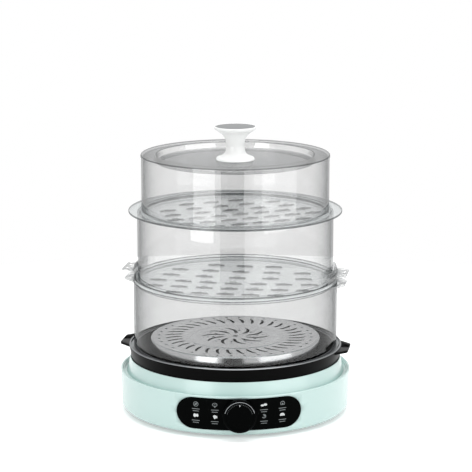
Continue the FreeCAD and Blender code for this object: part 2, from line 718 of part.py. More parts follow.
def heating_plate():
    hole = SENSOR_RADIUS + SLIDE_FIT + SENSOR_CUP_WALL
    return turned([
        (hole, HEATER_UNDER, 0),
        (PLATE_RADIUS, HEATER_UNDER, 1.0),
        (PLATE_RADIUS, HEATER_TOP, 1.0),
        (hole, HEATER_TOP, 0.5),
    ])


def element_z():
    return HEATER_UNDER - ELEMENT_TUBE - SHAFT_FIT


def heating_element():
    sweep = 360.0 - ELEMENT_GAP_ANGLE
    circle = Part.Wire(Part.makeCircle(
        ELEMENT_TUBE, Vector(ELEMENT_CIRCLE, 0, element_z()), Vector(0, 1, 0)))
    body = Part.Face(circle).revolve(ORIGIN, AXIS, sweep)
    start = 180.0 + ELEMENT_GAP_ANGLE / 2
    return at_angle(body, start)


def element_terminals():
    pins = []
    for side in (-1, 1):
        angle = 180.0 + side * ELEMENT_GAP_ANGLE / 2
        x, y = polar(ELEMENT_CIRCLE, angle)
        along = Vector(*polar(1.0, angle - side * 90.0))
        start = Vector(x, y, element_z())
        pins.append(Part.makeCylinder(TERMINAL_RADIUS, TERMINAL_LENGTH, start, along))
    return group(pins)


def terminal_tip():
    """Where the upper element terminal ends, as (x, y)."""
    angle = 180.0 - ELEMENT_GAP_ANGLE / 2
    x, y = polar(ELEMENT_CIRCLE, angle)
    dx, dy = polar(TERMINAL_LENGTH, angle + 90.0)
    return x + dx, y + dy


def thermal_fuses():
    length, width, tall = FUSE_SIZE
    one = block(
        (FUSE_CIRCLE - length / 2, FUSE_CIRCLE + length / 2),
        (-width / 2, width / 2),
        (HEATER_UNDER - tall, HEATER_UNDER),
    )
    return group([at_angle(one, 60.0), at_angle(one, 300.0)])


def sensor_cup():
    inner = SENSOR_RADIUS + SLIDE_FIT
    outer = inner + SENSOR_CUP_WALL
    low = HEATER_UNDER - SENSOR_CUP_DEPTH
    flange = HEATER_UNDER - SENSOR_FLANGE_THICK
    return turned([
        (0, low, 0),
        (outer, low, 1.0),
        (outer, flange, 0),
        (SENSOR_FLANGE, flange, 0),
        (SENSOR_FLANGE, HEATER_UNDER, 0),
        (inner, HEATER_UNDER, 0),
        (inner, low + SENSOR_CUP_WALL, 0),
        (0, low + SENSOR_CUP_WALL, 0),
    ])


def sensor_cap():
    low = HEATER_TOP - SENSOR_HEIGHT
    return turned([
        (0, HEATER_TOP, 0),
        (SENSOR_RADIUS, HEATER_TOP, 1.0),
        (SENSOR_RADIUS, low, 0),
        (SENSOR_RADIUS - SENSOR_WALL, low, 0),
        (SENSOR_RADIUS - SENSOR_WALL, HEATER_TOP - SENSOR_WALL, 0),
        (0, HEATER_TOP - SENSOR_WALL, 0),
    ])


def sensor_spring():
    low = HEATER_UNDER - SENSOR_CUP_DEPTH + SENSOR_CUP_WALL + SPRING_WIRE
    high = HEATER_TOP - SENSOR_WALL - SPRING_WIRE
    tall = high - low
    path = Part.makeLongHelix(tall / SPRING_TURNS, tall, SPRING_RADIUS)
    rise = Vector(0, 2 * math.pi * SPRING_RADIUS, tall / SPRING_TURNS)
    section = Part.Wire(Part.makeCircle(SPRING_WIRE, Vector(SPRING_RADIUS, 0, 0), rise))
    coil = Part.Wire(path.Edges).makePipeShell([section], True, True)
    coil.translate(Vector(0, 0, low))
    return coil


def control_panel():
    lens = panel_prism(0.0).common(wall_core(-PANEL_PROUD)).cut(wall_core(PANEL_POCKET))
    hole = along_y(BUSH_RADIUS + SEAT_FIT, -BASE_RADIUS / 2, -BASE_RADIUS - 1.0, 0, PANEL_Z)
    return lens.cut(hole)


def light_pipes():
    core = wall_core(PANEL_POCKET)
    start = BOARD_Y - LED_THICK
    return group([
        along_y(PIPE_RADIUS, start, -BASE_RADIUS, x, z).common(core) for x, z in LIGHTS
    ])


def status_leds():
    half = LED_SIZE / 2
    return group([
        block((x - half, x + half), (BOARD_Y - LED_THICK, BOARD_Y), (z - half, z + half))
        for x, z in LIGHTS
    ])


def board_heights():
    return (BASE_RIM - BOARD_BOTTOM_DROP, BASE_RIM - BOARD_TOP_DROP)


def control_board():
    half = BOARD_HALF_WIDTH
    board = block((-half, half), (BOARD_Y, BOARD_BACK), board_heights())
    holes = [
        along_y(SCREW_RADIUS + SCREW_PLAY, BOARD_BACK + 1.0, BOARD_Y - 1.0, x, z)
        for x, z in BOARD_SCREWS
    ]
    return cut(board, holes)


def connector_box():
    """Sides of the ribbon's connector on the back of the control board."""
    deep = 6.5
    high = BASE_FLOOR + PLUG_HEIGHT + RIBBON_WIDTH / 2 + 0.5
    left = -BOARD_HALF_WIDTH + 2.0
    return ((left, left + 8.0), (BOARD_BACK, BOARD_BACK + deep), (high - RIBBON_WIDTH - 1.0, high))


def board_connector():
    return block(*connector_box())


def board_screws():
    screws = []
    for x, z in BOARD_SCREWS:
        head = along_y(SCREW_HEAD_RADIUS, BOARD_BACK, BOARD_BACK + SCREW_HEAD, x, z)
        shank = along_y(SCREW_RADIUS, BOARD_BACK, BOARD_BACK - SCREW_BITE, x, z)
        screws.append(joined([head, shank]))
    return group(screws)


def encoder_body():
    half = ENCODER_SIZE / 2
    front = BOARD_Y - ENCODER_DEPTH
    body = block((-half, half), (front, BOARD_Y), (PANEL_Z - half, PANEL_Z + half))
    bush = along_y(BUSH_RADIUS, front, NUT_SEAT - NUT_THICK, 0, PANEL_Z)
    chamber = along_y(
        PLUNGER_RADIUS + SEAT_FIT, BOARD_Y - SEAT_FIT, PLUNGER_FRONT - SEAT_FIT, 0, PANEL_Z)
    bore = along_y(SHAFT_RADIUS + SHAFT_FIT, BOARD_Y - SEAT_FIT, -BASE_RADIUS - 10.0, 0, PANEL_Z)
    return cut(joined([body, bush]), [chamber, bore])


def encoder_nut():
    corner = NUT_ACROSS / math.sqrt(3)
    points = [polar(corner, 60.0 * index) + (0,) for index in range(6)]
    nut = slab(points, 0, NUT_THICK)
    nut.rotate(ORIGIN, Vector(1, 0, 0), 90)
    nut.translate(Vector(0, NUT_SEAT, PANEL_Z))
    hole = along_y(BUSH_RADIUS + SHAFT_FIT, 0, -2 * BASE_RADIUS, 0, PANEL_Z)
    return nut.cut(hole)


def encoder_plunger():
    return along_y(PLUNGER_RADIUS, PLUNGER_BACK, PLUNGER_FRONT, 0, PANEL_Z)


def encoder_shaft():
    return along_y(SHAFT_RADIUS, PLUNGER_FRONT, SHAFT_TIP, 0, PANEL_Z)


def knob_turned(corners):
    """Solid turned about the knob's axis; heights count forward from its back."""
    solid = turned(corners)
    solid.rotate(ORIGIN, Vector(1, 0, 0), 90)
    solid.translate(Vector(0, KNOB_BACK, PANEL_Z))
    return solid


def control_knob():
    hole = SHAFT_RADIUS + SHAFT_FIT
    hole_end = KNOB_RECESS + KNOB_GRIP + SHAFT_FIT
    face = KNOB_FACE_RADIUS + SHAFT_FIT
    seat = KNOB_DEPTH - KNOB_FACE_THICK
    return knob_turned([
        (KNOB_RECESS_RADIUS, 0, 0.5),
        (KNOB_RADIUS, 0, 0.8),
        (KNOB_RADIUS, KNOB_DEPTH - KNOB_BEVEL, 1.2),
        (KNOB_RADIUS - KNOB_BEVEL, KNOB_DEPTH, 0.6),
        (face, KNOB_DEPTH, 0),
        (face, seat, 0),
        (0, seat, 0),
        (0, hole_end, 0),
        (hole, hole_end, 0),
        (hole, KNOB_RECESS, 0),
        (KNOB_RECESS_RADIUS, KNOB_RECESS, 0.5),
    ])


def knob_face():
    seat = KNOB_DEPTH - KNOB_FACE_THICK
    return knob_turned([
        (0, seat, 0),
        (KNOB_FACE_RADIUS, seat, 0),
        (KNOB_FACE_RADIUS, KNOB_DEPTH, 0.3),
        (0, KNOB_DEPTH, 0),
    ])


def power_board():
    x = (-POWER_RADIUS - POWER_WIDTH / 2, -POWER_RADIUS + POWER_WIDTH / 2)
    y = (-POWER_LENGTH / 2, POWER_LENGTH / 2)
    board = block(x, y, (POWER_Z, POWER_Z + POWER_THICK))
    holes = [
        disc(SCREW_RADIUS + SCREW_PLAY, POWER_Z - 1.0, POWER_Z + 3.0, a, b)
        for a, b in power_corners()
    ]
    return cut(board, holes)


def power_screws():
    top = POWER_Z + POWER_THICK
    screws = []
    for x, y in power_corners():
        head = disc(SCREW_HEAD_RADIUS, top, top + SCREW_HEAD, x, y)
        screws.append(joined([head, disc(SCREW_RADIUS, COVER_TOP + 0.5, top, x, y)]))
    return group(screws)


def power_parts():
    """Transformer, relay, capacitor, choke and the two heater terminals."""
    top = POWER_Z + POWER_THICK
    out = -POWER_RADIUS - POWER_WIDTH / 2 + PART_EDGE
    inner = -POWER_RADIUS + POWER_WIDTH / 2
    lead_x, lead_y = terminal_tip()
    relay_end = RELAY[1] + 2 * POWER_INSET - POWER_LENGTH / 2
    coil = (relay_end + PART_GAP, POWER_LENGTH / 2 - 2 * POWER_INSET - TERMINAL_BLOCK - PART_GAP)
    parts = [
        block((out, out + RELAY[0]), (relay_end - RELAY[1], relay_end), (top, top + RELAY[2])),
        block((out, out + TRANSFORMER[0]), coil, (top, top + TRANSFORMER[1])),
        disc(CAPACITOR[0], top, top + CAPACITOR[1], inner - PART_INSET, relay_end + 4 * CAPACITOR[0]),
        disc(CHOKE[0], top, top + CHOKE[1], inner - PART_INSET, relay_end + CHOKE[0] + PART_EDGE),
    ]
    wide, long, tall = HEATER_TERMINAL
    for side in (-1, 1):
        middle = side * lead_y
        parts.append(block((inner - wide, inner), (middle - long / 2, middle + long / 2), (top, top + tall)))
    return group(parts)


def terminal_block():
    """Screw terminals that take the mains wires, on the power board's far end."""
    top = POWER_Z + POWER_THICK
    end = POWER_LENGTH / 2
    reach = (SEAT_FIT - WIRE_CIRCLE, SEAT_FIT - WIRE_CIRCLE + TERMINAL_BLOCK)
    high = BASE_FLOOR + WIRE_HEIGHTS[1] + WIRE_RADIUS + 1.0
    return block(reach, (end - 2 * POWER_INSET - TERMINAL_BLOCK, end - 2 * POWER_INSET), (top, high))


def mains_leads():
    """Two insulated wires that follow the casing's wall from inlet to board."""
    inside = WIRE_CIRCLE - WIRE_RADIUS
    start = 90.0 + math.degrees(math.asin((INLET_WIDTH / 2 + TAB_REACH + 0.1) / inside))
    block_end = POWER_LENGTH / 2 - 2 * POWER_INSET + 0.1
    end = 180.0 - math.degrees(math.asin(block_end / inside))
    wires = []
    for height in WIRE_HEIGHTS:
        middle = Vector(WIRE_CIRCLE, 0, BASE_FLOOR + height)
        circle = Part.Wire(Part.makeCircle(WIRE_RADIUS, middle, Vector(0, 1, 0)))
        wires.append(at_angle(Part.Face(circle).revolve(ORIGIN, AXIS, end - start), start))
    return group(wires)


def heater_leads():
    tip_x, tip_y = terminal_tip()
    start = tip_x - TERMINAL_RADIUS - 0.1
    end = -POWER_RADIUS + POWER_WIDTH / 2
    z = element_z()
    return group([rod(WIRE_RADIUS, (start, s * tip_y, z), (end, s * tip_y, z)) for s in (-1, 1)])


def ribbon_cable():
    """Flat cable that follows the casing's wall from power board to control board."""
    (left, _), _, (low, high) = connector_box()
    start = 180.0 + math.degrees(math.asin((POWER_LENGTH / 2 + 0.2) / WIRE_CIRCLE))
    end = 180.0 + math.degrees(math.acos((0.2 - left) / WIRE_CIRCLE))
    section = Part.makePolygon([
        Vector(WIRE_CIRCLE, 0, low + 0.5),
        Vector(WIRE_CIRCLE + RIBBON_THICK, 0, low + 0.5),
        Vector(WIRE_CIRCLE + RIBBON_THICK, 0, high - 0.5),
        Vector(WIRE_CIRCLE, 0, high - 0.5),
        Vector(WIRE_CIRCLE, 0, low + 0.5),
    ])
    return at_angle(Part.Face(section).revolve(ORIGIN, AXIS, end - start), start)


def ribbon_plug():
    """Connector at the ribbon's power board end, standing on the board."""
    _, _, (low, high) = connector_box()
    end = -POWER_LENGTH / 2
    out = -POWER_RADIUS - POWER_WIDTH / 2
    return block((out - 3.0, out + 1.5), (end, end + 4.0), (POWER_Z + POWER_THICK, high))


def inlet_pin(x, z):
    wide, tall = PIN_SIZE
    back = INLET_OUT - INLET_CAVITY[2]
    return block(
        (x - wide / 2, x + wide / 2),
        (back - 3.0, back + PIN_LENGTH - 3.0),
        (z - tall / 2, z + tall / 2),
    )


def inlet_contacts():
    """Live, neutral and earth pins, and the two side tabs for the mains wires."""
    back = INLET_OUT - INLET_CAVITY[2]
    low = INLET_Z - PIN_OFFSET
    pins = [
        inlet_pin(-PIN_SPREAD, low),
        inlet_pin(PIN_SPREAD, low),
        inlet_pin(0, INLET_Z + PIN_OFFSET),
    ]
    side = -INLET_WIDTH / 2
    depth = math.sqrt(WIRE_CIRCLE ** 2 - (INLET_WIDTH / 2 + TAB_REACH) ** 2)
    tabs = []
    for height in WIRE_HEIGHTS:
        z = BASE_FLOOR + height
        tabs.append(block((side - TAB_REACH, side + 2.0), (depth - 3.0, depth + 3.0), (z - 0.4, z + 0.4)))
    return pins + tabs, back


def inlet_pins():
    solids, _ = inlet_contacts()
    return group(solids)


def inlet_socket():
    solids, back = inlet_contacts()
    half_width = INLET_WIDTH / 2
    half_tall = INLET_TALL / 2
    body = block(
        (-half_width, half_width),
        (INLET_IN, INLET_OUT - 1.0),
        (INLET_Z - half_tall, INLET_Z + half_tall),
    )
    collar_x = half_width + INLET_FLANGE
    collar_z = half_tall + INLET_FLANGE
    round_off = INLET_ROUND
    collar = slab([
        (-collar_x, -collar_z, round_off),
        (collar_x, -collar_z, round_off),
        (collar_x, collar_z, round_off),
        (-collar_x, collar_z, round_off),
    ], 0, INLET_OUT - BASE_RADIUS)
    collar.rotate(ORIGIN, Vector(1, 0, 0), -90)
    collar.translate(Vector(0, BASE_RADIUS, INLET_Z))
    wide, tall, _ = INLET_CAVITY
    cavity = block((-wide / 2, wide / 2), (back, INLET_OUT + 1.0), (INLET_Z - tall / 2, INLET_Z + tall / 2))
    return cut(joined([body, collar]), [cavity] + solids)


def lug(root_radius, root_angle, tip_radius, tip_angle, low, high):
    """Tab that narrows from a round wall out to its tip, along +X."""
    root_x, root_y = polar(root_radius, root_angle)
    tip_x, tip_y = polar(tip_radius, tip_angle)
    return slab([
        (root_x, -root_y, 0),
        (tip_x, -tip_y, LUG_ROUND),
        (tip_x, tip_y, LUG_ROUND),
        (root_x, root_y, 0),
    ], low, high)


def pan():
    skirt_foot = PAN_RIM - PAN_SKIRT_DEPTH
    shelf = PAN_LEDGE - PAN_SHELF
    foot_out = PAN_RIM_RADIUS - PAN_SKIRT_LEAN
    outer_top = PAN_MOUTH + PAN_WALL
    outer_foot = PAN_FOOT_RADIUS + PAN_WALL
    skirt_in_top = PAN_RIM_RADIUS - PAN_SKIRT_THICK
    body = turned([
        (0, PAN_UNDER, 0),
        (outer_foot, PAN_UNDER, PAN_ROUND + PAN_WALL),
        (outer_top, shelf, 0),
        (skirt_in_top, shelf, 0),
        (foot_out - PAN_SKIRT_THICK, skirt_foot, 0.8),
        (foot_out, skirt_foot, 0.8),
        (PAN_RIM_RADIUS, PAN_RIM - PAN_BEVEL, 0),
        (PAN_RIM_RADIUS - PAN_BEVEL, PAN_RIM, 0),
        (PAN_LEDGE_RADIUS, PAN_RIM, 0),
        (PAN_LEDGE_RADIUS, PAN_LEDGE, 0),
        (PAN_MOUTH, PAN_LEDGE, 1.0),
        (PAN_FOOT_RADIUS, PAN_INSIDE, PAN_ROUND),
        (0, PAN_INSIDE, 0),
    ])
    root = PAN_RIM_RADIUS - PAN_SKIRT_THICK / 2
    high = PAN_RIM - PAN_LUG_DROP
    handle = slab([
        (root - 4.0, -PAN_LUG_ROOT_HALF, 0),
        (PAN_LUG_TIP, -PAN_LUG_TIP_HALF, 2 * LUG_ROUND),
        (PAN_LUG_TIP, PAN_LUG_TIP_HALF, 2 * LUG_ROUND),
        (root - 4.0, PAN_LUG_ROOT_HALF, 0),
    ], high - PAN_LUG_THICK, high)
    handle = handle.cut(disc(root, 0, PAN_RIM))
    dimple = disc(PAN_LUG_DIMPLE, high - 1.0, high + 1.0, (PAN_RIM_RADIUS + PAN_LUG_TIP) / 2)
    handle = handle.cut(dimple)
    return joined([body] + spread(handle, 2, LUG_TURN))


def radial_slot(inner, outer, width, swirl, low, high):
    """Slot along +X whose outer end is turned by a swirl, in degrees."""
    tip_x, tip_y = polar(outer, swirl)
    run = Vector(tip_x - inner, tip_y, 0)
    slot = pill(run.Length + width, width, low, high)
    slot.rotate(ORIGIN, AXIS, math.degrees(math.atan2(tip_y, tip_x - inner)))
    slot.translate(Vector((tip_x + inner) / 2, tip_y / 2, 0))
    return slot


def steam_rack():
    skirt = RACK_TOP - RACK_SKIRT
    flared = RACK_RADIUS + RACK_FLARE
    plate = turned([
        (0, RACK_TOP, 0),
        (RACK_RADIUS, RACK_TOP, RACK_ROUND),
        (flared, skirt, 0),
        (flared - RACK_THICK, skirt, 0),
        (RACK_RADIUS - RACK_THICK, RACK_TOP - RACK_THICK, RACK_ROUND - RACK_THICK),
        (0, RACK_TOP - RACK_THICK, 0),
    ])
    low = RACK_TOP - 2 * RACK_THICK
    high = RACK_TOP + RACK_THICK
    pitch = 360.0 / RACK_SLOTS
    inner, outer, width = RACK_SLOT
    slot = radial_slot(inner + width / 2, outer - width / 2, width, RACK_SWIRL, low, high)
    tools = spread(slot, RACK_SLOTS)
    tools += spread(disc(RACK_HOLE, low, high, RACK_HOLE_CIRCLE), RACK_SLOTS, pitch / 2)
    inner, outer, width = RACK_ARM
    arm = radial_slot(inner + width / 2, outer - width / 2, width, RACK_ARM_SWIRL, low, high)
    tools += spread(arm, RACK_ARMS, RACK_ARM_START - RACK_ARM_SWIRL)
    half_pitch = 180.0 / RACK_ARMS
    for circle, radius in RACK_DOTS:
        dot = disc(radius, low, high, circle)
        tools += spread(dot, RACK_ARMS, RACK_ARM_START - half_pitch)
    tools.append(disc(RACK_EYE, low, high))
    return cut(plate, tools)


def rack_legs():
    under = RACK_TOP - RACK_THICK
    thick = LEG_THICK
    wire = outline([
        (LEG_FOOT_RADIUS - LEG_FLANGE, PAN_INSIDE, 0),
        (LEG_FOOT_RADIUS, PAN_INSIDE, 2 * thick),
        (LEG_TOP_RADIUS, under, 2 * thick),
        (LEG_TOP_RADIUS - LEG_FLANGE, under, 0),
        (LEG_TOP_RADIUS - LEG_FLANGE, under - thick, 0),
        (LEG_TOP_RADIUS - 1.5 * thick, under - thick, thick),
        (LEG_FOOT_RADIUS - 1.1 * thick, PAN_INSIDE + thick, thick),
        (LEG_FOOT_RADIUS - LEG_FLANGE, PAN_INSIDE + thick, 0),
    ], lambda a, b: Vector(a, -LEG_WIDTH / 2, b))
    leg = Part.Face(wire).extrude(Vector(0, LEG_WIDTH, 0))
    return group(spread(leg, LEG_COUNT, 45.0))


def lower_tier():
    inner = TIER_ONE_RADIUS - TIER_WALL
    low = TIER_ONE_TOP - TIER_LUG_THICK
    wall = turned([
        (inner, PAN_LEDGE, 0),
        (TIER_ONE_RADIUS, PAN_LEDGE, 0.6),
        (TIER_ONE_RADIUS, TIER_ONE_TOP, 0),
        (inner, TIER_ONE_TOP, 0),
    ])
    middle = TIER_ONE_RADIUS - TIER_WALL / 2
    handle = lug(middle, LUG_ROOT_ANGLE, TIER_LUG_TIP, TIER_LUG_TIP_ANGLE, low, TIER_ONE_TOP)
    handle = cut(handle, [
        disc(middle, low - 1.0, TIER_ONE_TOP + 1.0),
        disc(LUG_HOLE, low - 1.0, TIER_ONE_TOP + 1.0, TIER_LUG_HOLE_CIRCLE),
    ])
    wire = outline([
        (middle, low - GUSSET_TALL, 0),
        (TIER_ONE_RADIUS + GUSSET_REACH, low, 0),
        (middle, low, 0),
    ], lambda a, b: Vector(a, -GUSSET_THICK / 2, b))
    gusset = Part.Face(wire).extrude(Vector(0, GUSSET_THICK, 0))
    ears = spread(handle, 2, LUG_TURN) + spread(gusset, 2, LUG_TURN)
    return joined([wall] + ears)


def tray_slots(low, high, shrink):
    """The rows of slots, laid out for a dish and shrunk with it."""
    tools = []
    for (y, pitch), count in zip(SLOT_ROWS, SLOT_COUNTS):
        for index in range(count):
            x = (index - (count - 1) / 2) * pitch * shrink
            slot = pill(SLOT_LENGTH, SLOT_WIDTH, low, high)
            eye = disc(SLOT_EYE, low, high)
            opening = joined([slot, eye])
            opening.translate(Vector(x, y * shrink, 0))
            tools.append(opening)
    return tools


def middle_tray():
    rim_radius = TIER_ONE_RADIUS - 0.5
    rim_inner = rim_radius - TRAY_RIM_THICK
    floor = TRAY_FACE - TRAY_FLOOR_DROP
    guide_out = TIER_ONE_RADIUS - TIER_WALL - LIFT_FIT
    body = turned([
        (0, floor - TRAY_THICK - TRAY_DISH, 0),
        (TRAY_DISH_RADIUS + TRAY_THICK, floor - TRAY_THICK, 0),
        (TRAY_DISH_RADIUS + TRAY_THICK, TIER_ONE_TOP, 0),
        (guide_out - TRAY_GUIDE, TIER_ONE_TOP, 0),
        (guide_out - TRAY_GUIDE, TIER_ONE_TOP - TRAY_GUIDE_DEPTH, 0),
        (guide_out, TIER_ONE_TOP - TRAY_GUIDE_DEPTH, 0),
        (guide_out, TIER_ONE_TOP, 0),
        (rim_radius, TIER_ONE_TOP, 0),
        (rim_radius, TRAY_RIM, 0.7),
        (rim_inner, TRAY_RIM, 0.7),
        (rim_inner, TRAY_FACE, 0),
        (TRAY_DISH_RADIUS + 0.5, TRAY_FACE, 0),
        (TRAY_DISH_RADIUS, floor, 0),
        (0, floor - TRAY_DISH, 0),
    ])
    guard_top = TRAY_RIM + GUARD_RISE
    sector = wedge(GUARD_HALF_ANGLE, 2 * rim_radius, TRAY_FACE, guard_top)
    guard = tube(rim_radius, rim_inner, TRAY_FACE, guard_top).common(sector)
    high = TRAY_RIM + TRAY_LUG_RISE
    low = high - TIER_LUG_THICK
    middle = (rim_radius + rim_inner) / 2
    handle = lug(middle, LUG_ROOT_ANGLE, TRAY_LUG_TIP, TRAY_LUG_TIP_ANGLE, low, high)
    holes = [disc(middle, low - 1.0, high + 1.0)]
    for step in (-1, 0, 1):
        x, y = polar(TRAY_LUG_HOLE_CIRCLE, step * TRAY_LUG_HOLE_PITCH)
        holes.append(disc(LUG_HOLE, low - 1.0, high + 1.0, x, y))
    ear = joined([guard, cut(handle, holes)])
    tray = joined([body] + spread(ear, 2, LUG_TURN))
    deep = floor - TRAY_THICK - 2 * TRAY_DISH
    slots = [at_angle(slot, LUG_TURN) for slot in tray_slots(deep, TRAY_FACE, TRAY_DISH_RADIUS / SLOT_FIELD)]
    return cut(tray, slots)


def upper_tier():
    inner = TIER_TWO_RADIUS - TIER_WALL
    return turned([
        (inner, TRAY_FACE, 0),
        (TIER_TWO_RADIUS, TRAY_FACE, 0.6),
        (TIER_TWO_RADIUS, TIER_TWO_TOP, 0),
        (inner, TIER_TWO_TOP, 0),
    ])


def upper_tray():
    floor = UPPER_FACE - UPPER_FLOOR_DROP
    guide_out = TIER_TWO_RADIUS - TIER_WALL - LIFT_FIT
    guide_in = guide_out - TRAY_GUIDE
    ring_in = UPPER_RING_RADIUS - UPPER_RING_THICK
    body = turned([
        (0, floor - UPPER_THICK, 0),
        (UPPER_DISH_RADIUS + UPPER_THICK, floor - UPPER_THICK, 1.0),
        (UPPER_DISH_RADIUS + UPPER_THICK + 0.6, TIER_TWO_TOP, 0),
        (guide_in, TIER_TWO_TOP, 0),
        (guide_in, TIER_TWO_TOP - UPPER_GUIDE_DEPTH, 0),
        (guide_out, TIER_TWO_TOP - UPPER_GUIDE_DEPTH, 0),
        (guide_out, TIER_TWO_TOP, 0),
        (UPPER_FLANGE_RADIUS, TIER_TWO_TOP, 0.5),
        (UPPER_FLANGE_RADIUS, UPPER_FACE, 0.8),
        (UPPER_RING_RADIUS, UPPER_FACE, 0),
        (UPPER_RING_RADIUS, UPPER_FACE + UPPER_RING_RISE, 0.5),
        (ring_in, UPPER_FACE + UPPER_RING_RISE, 0.5),
        (ring_in, UPPER_FACE, 0),
        (UPPER_DISH_RADIUS + 0.6, UPPER_FACE, 0),
        (UPPER_DISH_RADIUS, floor, 0),
        (0, floor, 0),
    ])
    shrink = UPPER_SHRINK * UPPER_DISH_RADIUS / SLOT_FIELD
    slots = tray_slots(floor - 2 * UPPER_THICK, UPPER_FACE, shrink)
    return cut(body, [at_angle(slot, LUG_TURN + UPPER_TURN) for slot in slots])


def lid():
    inner = LID_RADIUS - LID_WALL
    under = LID_TOP - LID_WALL
    dish_under = LID_DISH - LID_WALL
    hole = LID_SCREW_RADIUS + SEAT_FIT
    dish_out = LID_DISH_RADIUS - LID_DISH_LEAN
    bead = LID_TOP - LID_BEAD_TALL
    shell = turned([
        (inner, UPPER_FACE, 0),
        (LID_RADIUS, UPPER_FACE, 0.5),
        (LID_RADIUS, bead - LID_BEAD, 0),
        (LID_RADIUS + LID_BEAD, bead, 0),
        (LID_RADIUS + LID_BEAD, LID_TOP, LID_ROUND),
        (LID_DISH_RADIUS, LID_TOP, 1.2),
        (dish_out, LID_DISH, 1.2),
        (hole, LID_DISH, 0),
        (hole, dish_under, 0),
        (dish_out + LID_WALL, dish_under, 2.5),
        (LID_DISH_RADIUS + LID_WALL, under, 0.6),
        (inner, under, 1.2),
    ])
    length, width = LID_VENT
    vent = pill(length, width, under - 1.0, LID_TOP + 1.0)
    vent.rotate(ORIGIN, AXIS, 90)
    vent.translate(Vector(LID_VENT_CIRCLE, 0, 0))
    return shell.cut(at_angle(vent, LID_VENT_ANGLE))


def lid_washer():
    low = LID_DISH - LID_WALL - WASHER_THICK
    return tube(WASHER_RADIUS, LID_SCREW_RADIUS + SEAT_FIT, low, LID_DISH - LID_WALL)


def lid_screw():
    seat = LID_DISH - LID_WALL - WASHER_THICK
    head = disc(LID_SCREW_HEAD, seat - SCREW_HEAD, seat)
    return joined([head, disc(LID_SCREW_RADIUS, seat, KNOB_JOINT + LID_SCREW_GRIP)])


def lid_knob_foot():
    hole = LID_SCREW_RADIUS + SEAT_FIT
    flank = KNOB_WAIST_RADIUS + 1.2
    return turned([
        (hole, LID_DISH, 0),
        (KNOB_FOOT_RADIUS, LID_DISH, 0.8),
        (KNOB_FOOT_RADIUS - 1.2, LID_DISH + 3.4, 3.0),
        (flank, LID_DISH + 0.42 * KNOB_FOOT_HEIGHT, 10.0),
        (KNOB_WAIST_RADIUS, KNOB_JOINT, 0),
        (hole, KNOB_JOINT, 0),
    ])


def lid_knob_top():
    hole = LID_SCREW_RADIUS + SHAFT_FIT
    hole_end = KNOB_JOINT + LID_SCREW_GRIP + SEAT_FIT
    seat = KNOB_CROWN - KNOB_RIM
    recess = CAP_RADIUS + SHAFT_FIT
    return turned([
        (hole, KNOB_JOINT, 0),
        (KNOB_WAIST_RADIUS, KNOB_JOINT, 0),
        (KNOB_WAIST_RADIUS + 1.0, KNOB_JOINT + 0.5 * KNOB_TOP_HEIGHT, KNOB_FLARE),
        (KNOB_TOP_RADIUS, KNOB_CROWN - 3.4, 2.0),
        (KNOB_TOP_RADIUS, KNOB_CROWN, CAP_LAND / 2),
        (recess, KNOB_CROWN, 0.3),
        (recess, seat, 0),
        (0, seat, 0),
        (0, hole_end, 0),
        (hole, hole_end, 0),
    ])


def lid_knob_cap():
    seat = KNOB_CROWN - KNOB_RIM
    return turned([
        (0, seat, 0),
        (CAP_RADIUS, seat, 0),
        (CAP_RADIUS, seat + CAP_THICK, 0.4),
        (0, seat + CAP_THICK, 0),
    ])


NODES = [
    base_shell, top_ring, well_liner, liner_screws, bottom_cover, cover_screws, rubber_feet,
    plate_posts, post_screws, heat_shield, heating_plate, heating_element, element_terminals,
    thermal_fuses, sensor_cup, sensor_cap, sensor_spring, control_panel, light_pipes,
    status_leds, control_board, board_connector, board_screws, encoder_body, encoder_nut,
    encoder_plunger, encoder_shaft, control_knob, knob_face, power_board, power_screws,
    power_parts, terminal_block, mains_leads, heater_leads, ribbon_cable, ribbon_plug,
    inlet_socket, inlet_pins, pan, steam_rack, rack_legs, lower_tier, middle_tray, upper_tier,
    upper_tray, lid, lid_washer, lid_screw, lid_knob_foot, lid_knob_top, lid_knob_cap,
]

os.makedirs("parts", exist_ok=True)
for make in NODES:
    shape = make()
    shape.exportStep("parts/" + make.__name__ + ".step")
    valid = shape.isValid()
    print(f"{make.__name__}: {len(shape.Solids)} solids, {shape.Volume:.0f} mm3, valid {valid}")
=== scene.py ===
import math

import bmesh
import bpy
from mathutils import Matrix, Vector


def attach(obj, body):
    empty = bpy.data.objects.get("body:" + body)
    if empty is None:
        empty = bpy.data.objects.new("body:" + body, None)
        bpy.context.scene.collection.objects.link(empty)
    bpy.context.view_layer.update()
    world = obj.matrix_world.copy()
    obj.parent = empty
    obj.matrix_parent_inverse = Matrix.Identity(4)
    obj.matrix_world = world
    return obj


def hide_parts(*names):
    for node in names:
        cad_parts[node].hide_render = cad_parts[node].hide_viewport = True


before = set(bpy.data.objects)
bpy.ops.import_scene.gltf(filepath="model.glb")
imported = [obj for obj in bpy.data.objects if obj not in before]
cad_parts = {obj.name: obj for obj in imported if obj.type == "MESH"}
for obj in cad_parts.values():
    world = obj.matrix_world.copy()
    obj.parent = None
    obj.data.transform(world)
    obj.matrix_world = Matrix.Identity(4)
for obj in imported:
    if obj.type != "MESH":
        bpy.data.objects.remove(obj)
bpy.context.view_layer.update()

# Bottom cover
# Vented plate that closes the base from below. Injection moulded in a paler
# mint, dropped into the casing's opening and held by four screws.

MM = 0.001
CREASE = 32


def linear(hex_code):
    """sRGB hex as linear red, green, blue and alpha."""
    parts = [int(hex_code[i:i + 2], 16) / 255 for i in (1, 3, 5)]
    return tuple(c / 12.92 if c <= 0.04045 else ((c + 0.055) / 1.055) ** 2.4 for c in parts) + (1.0,)


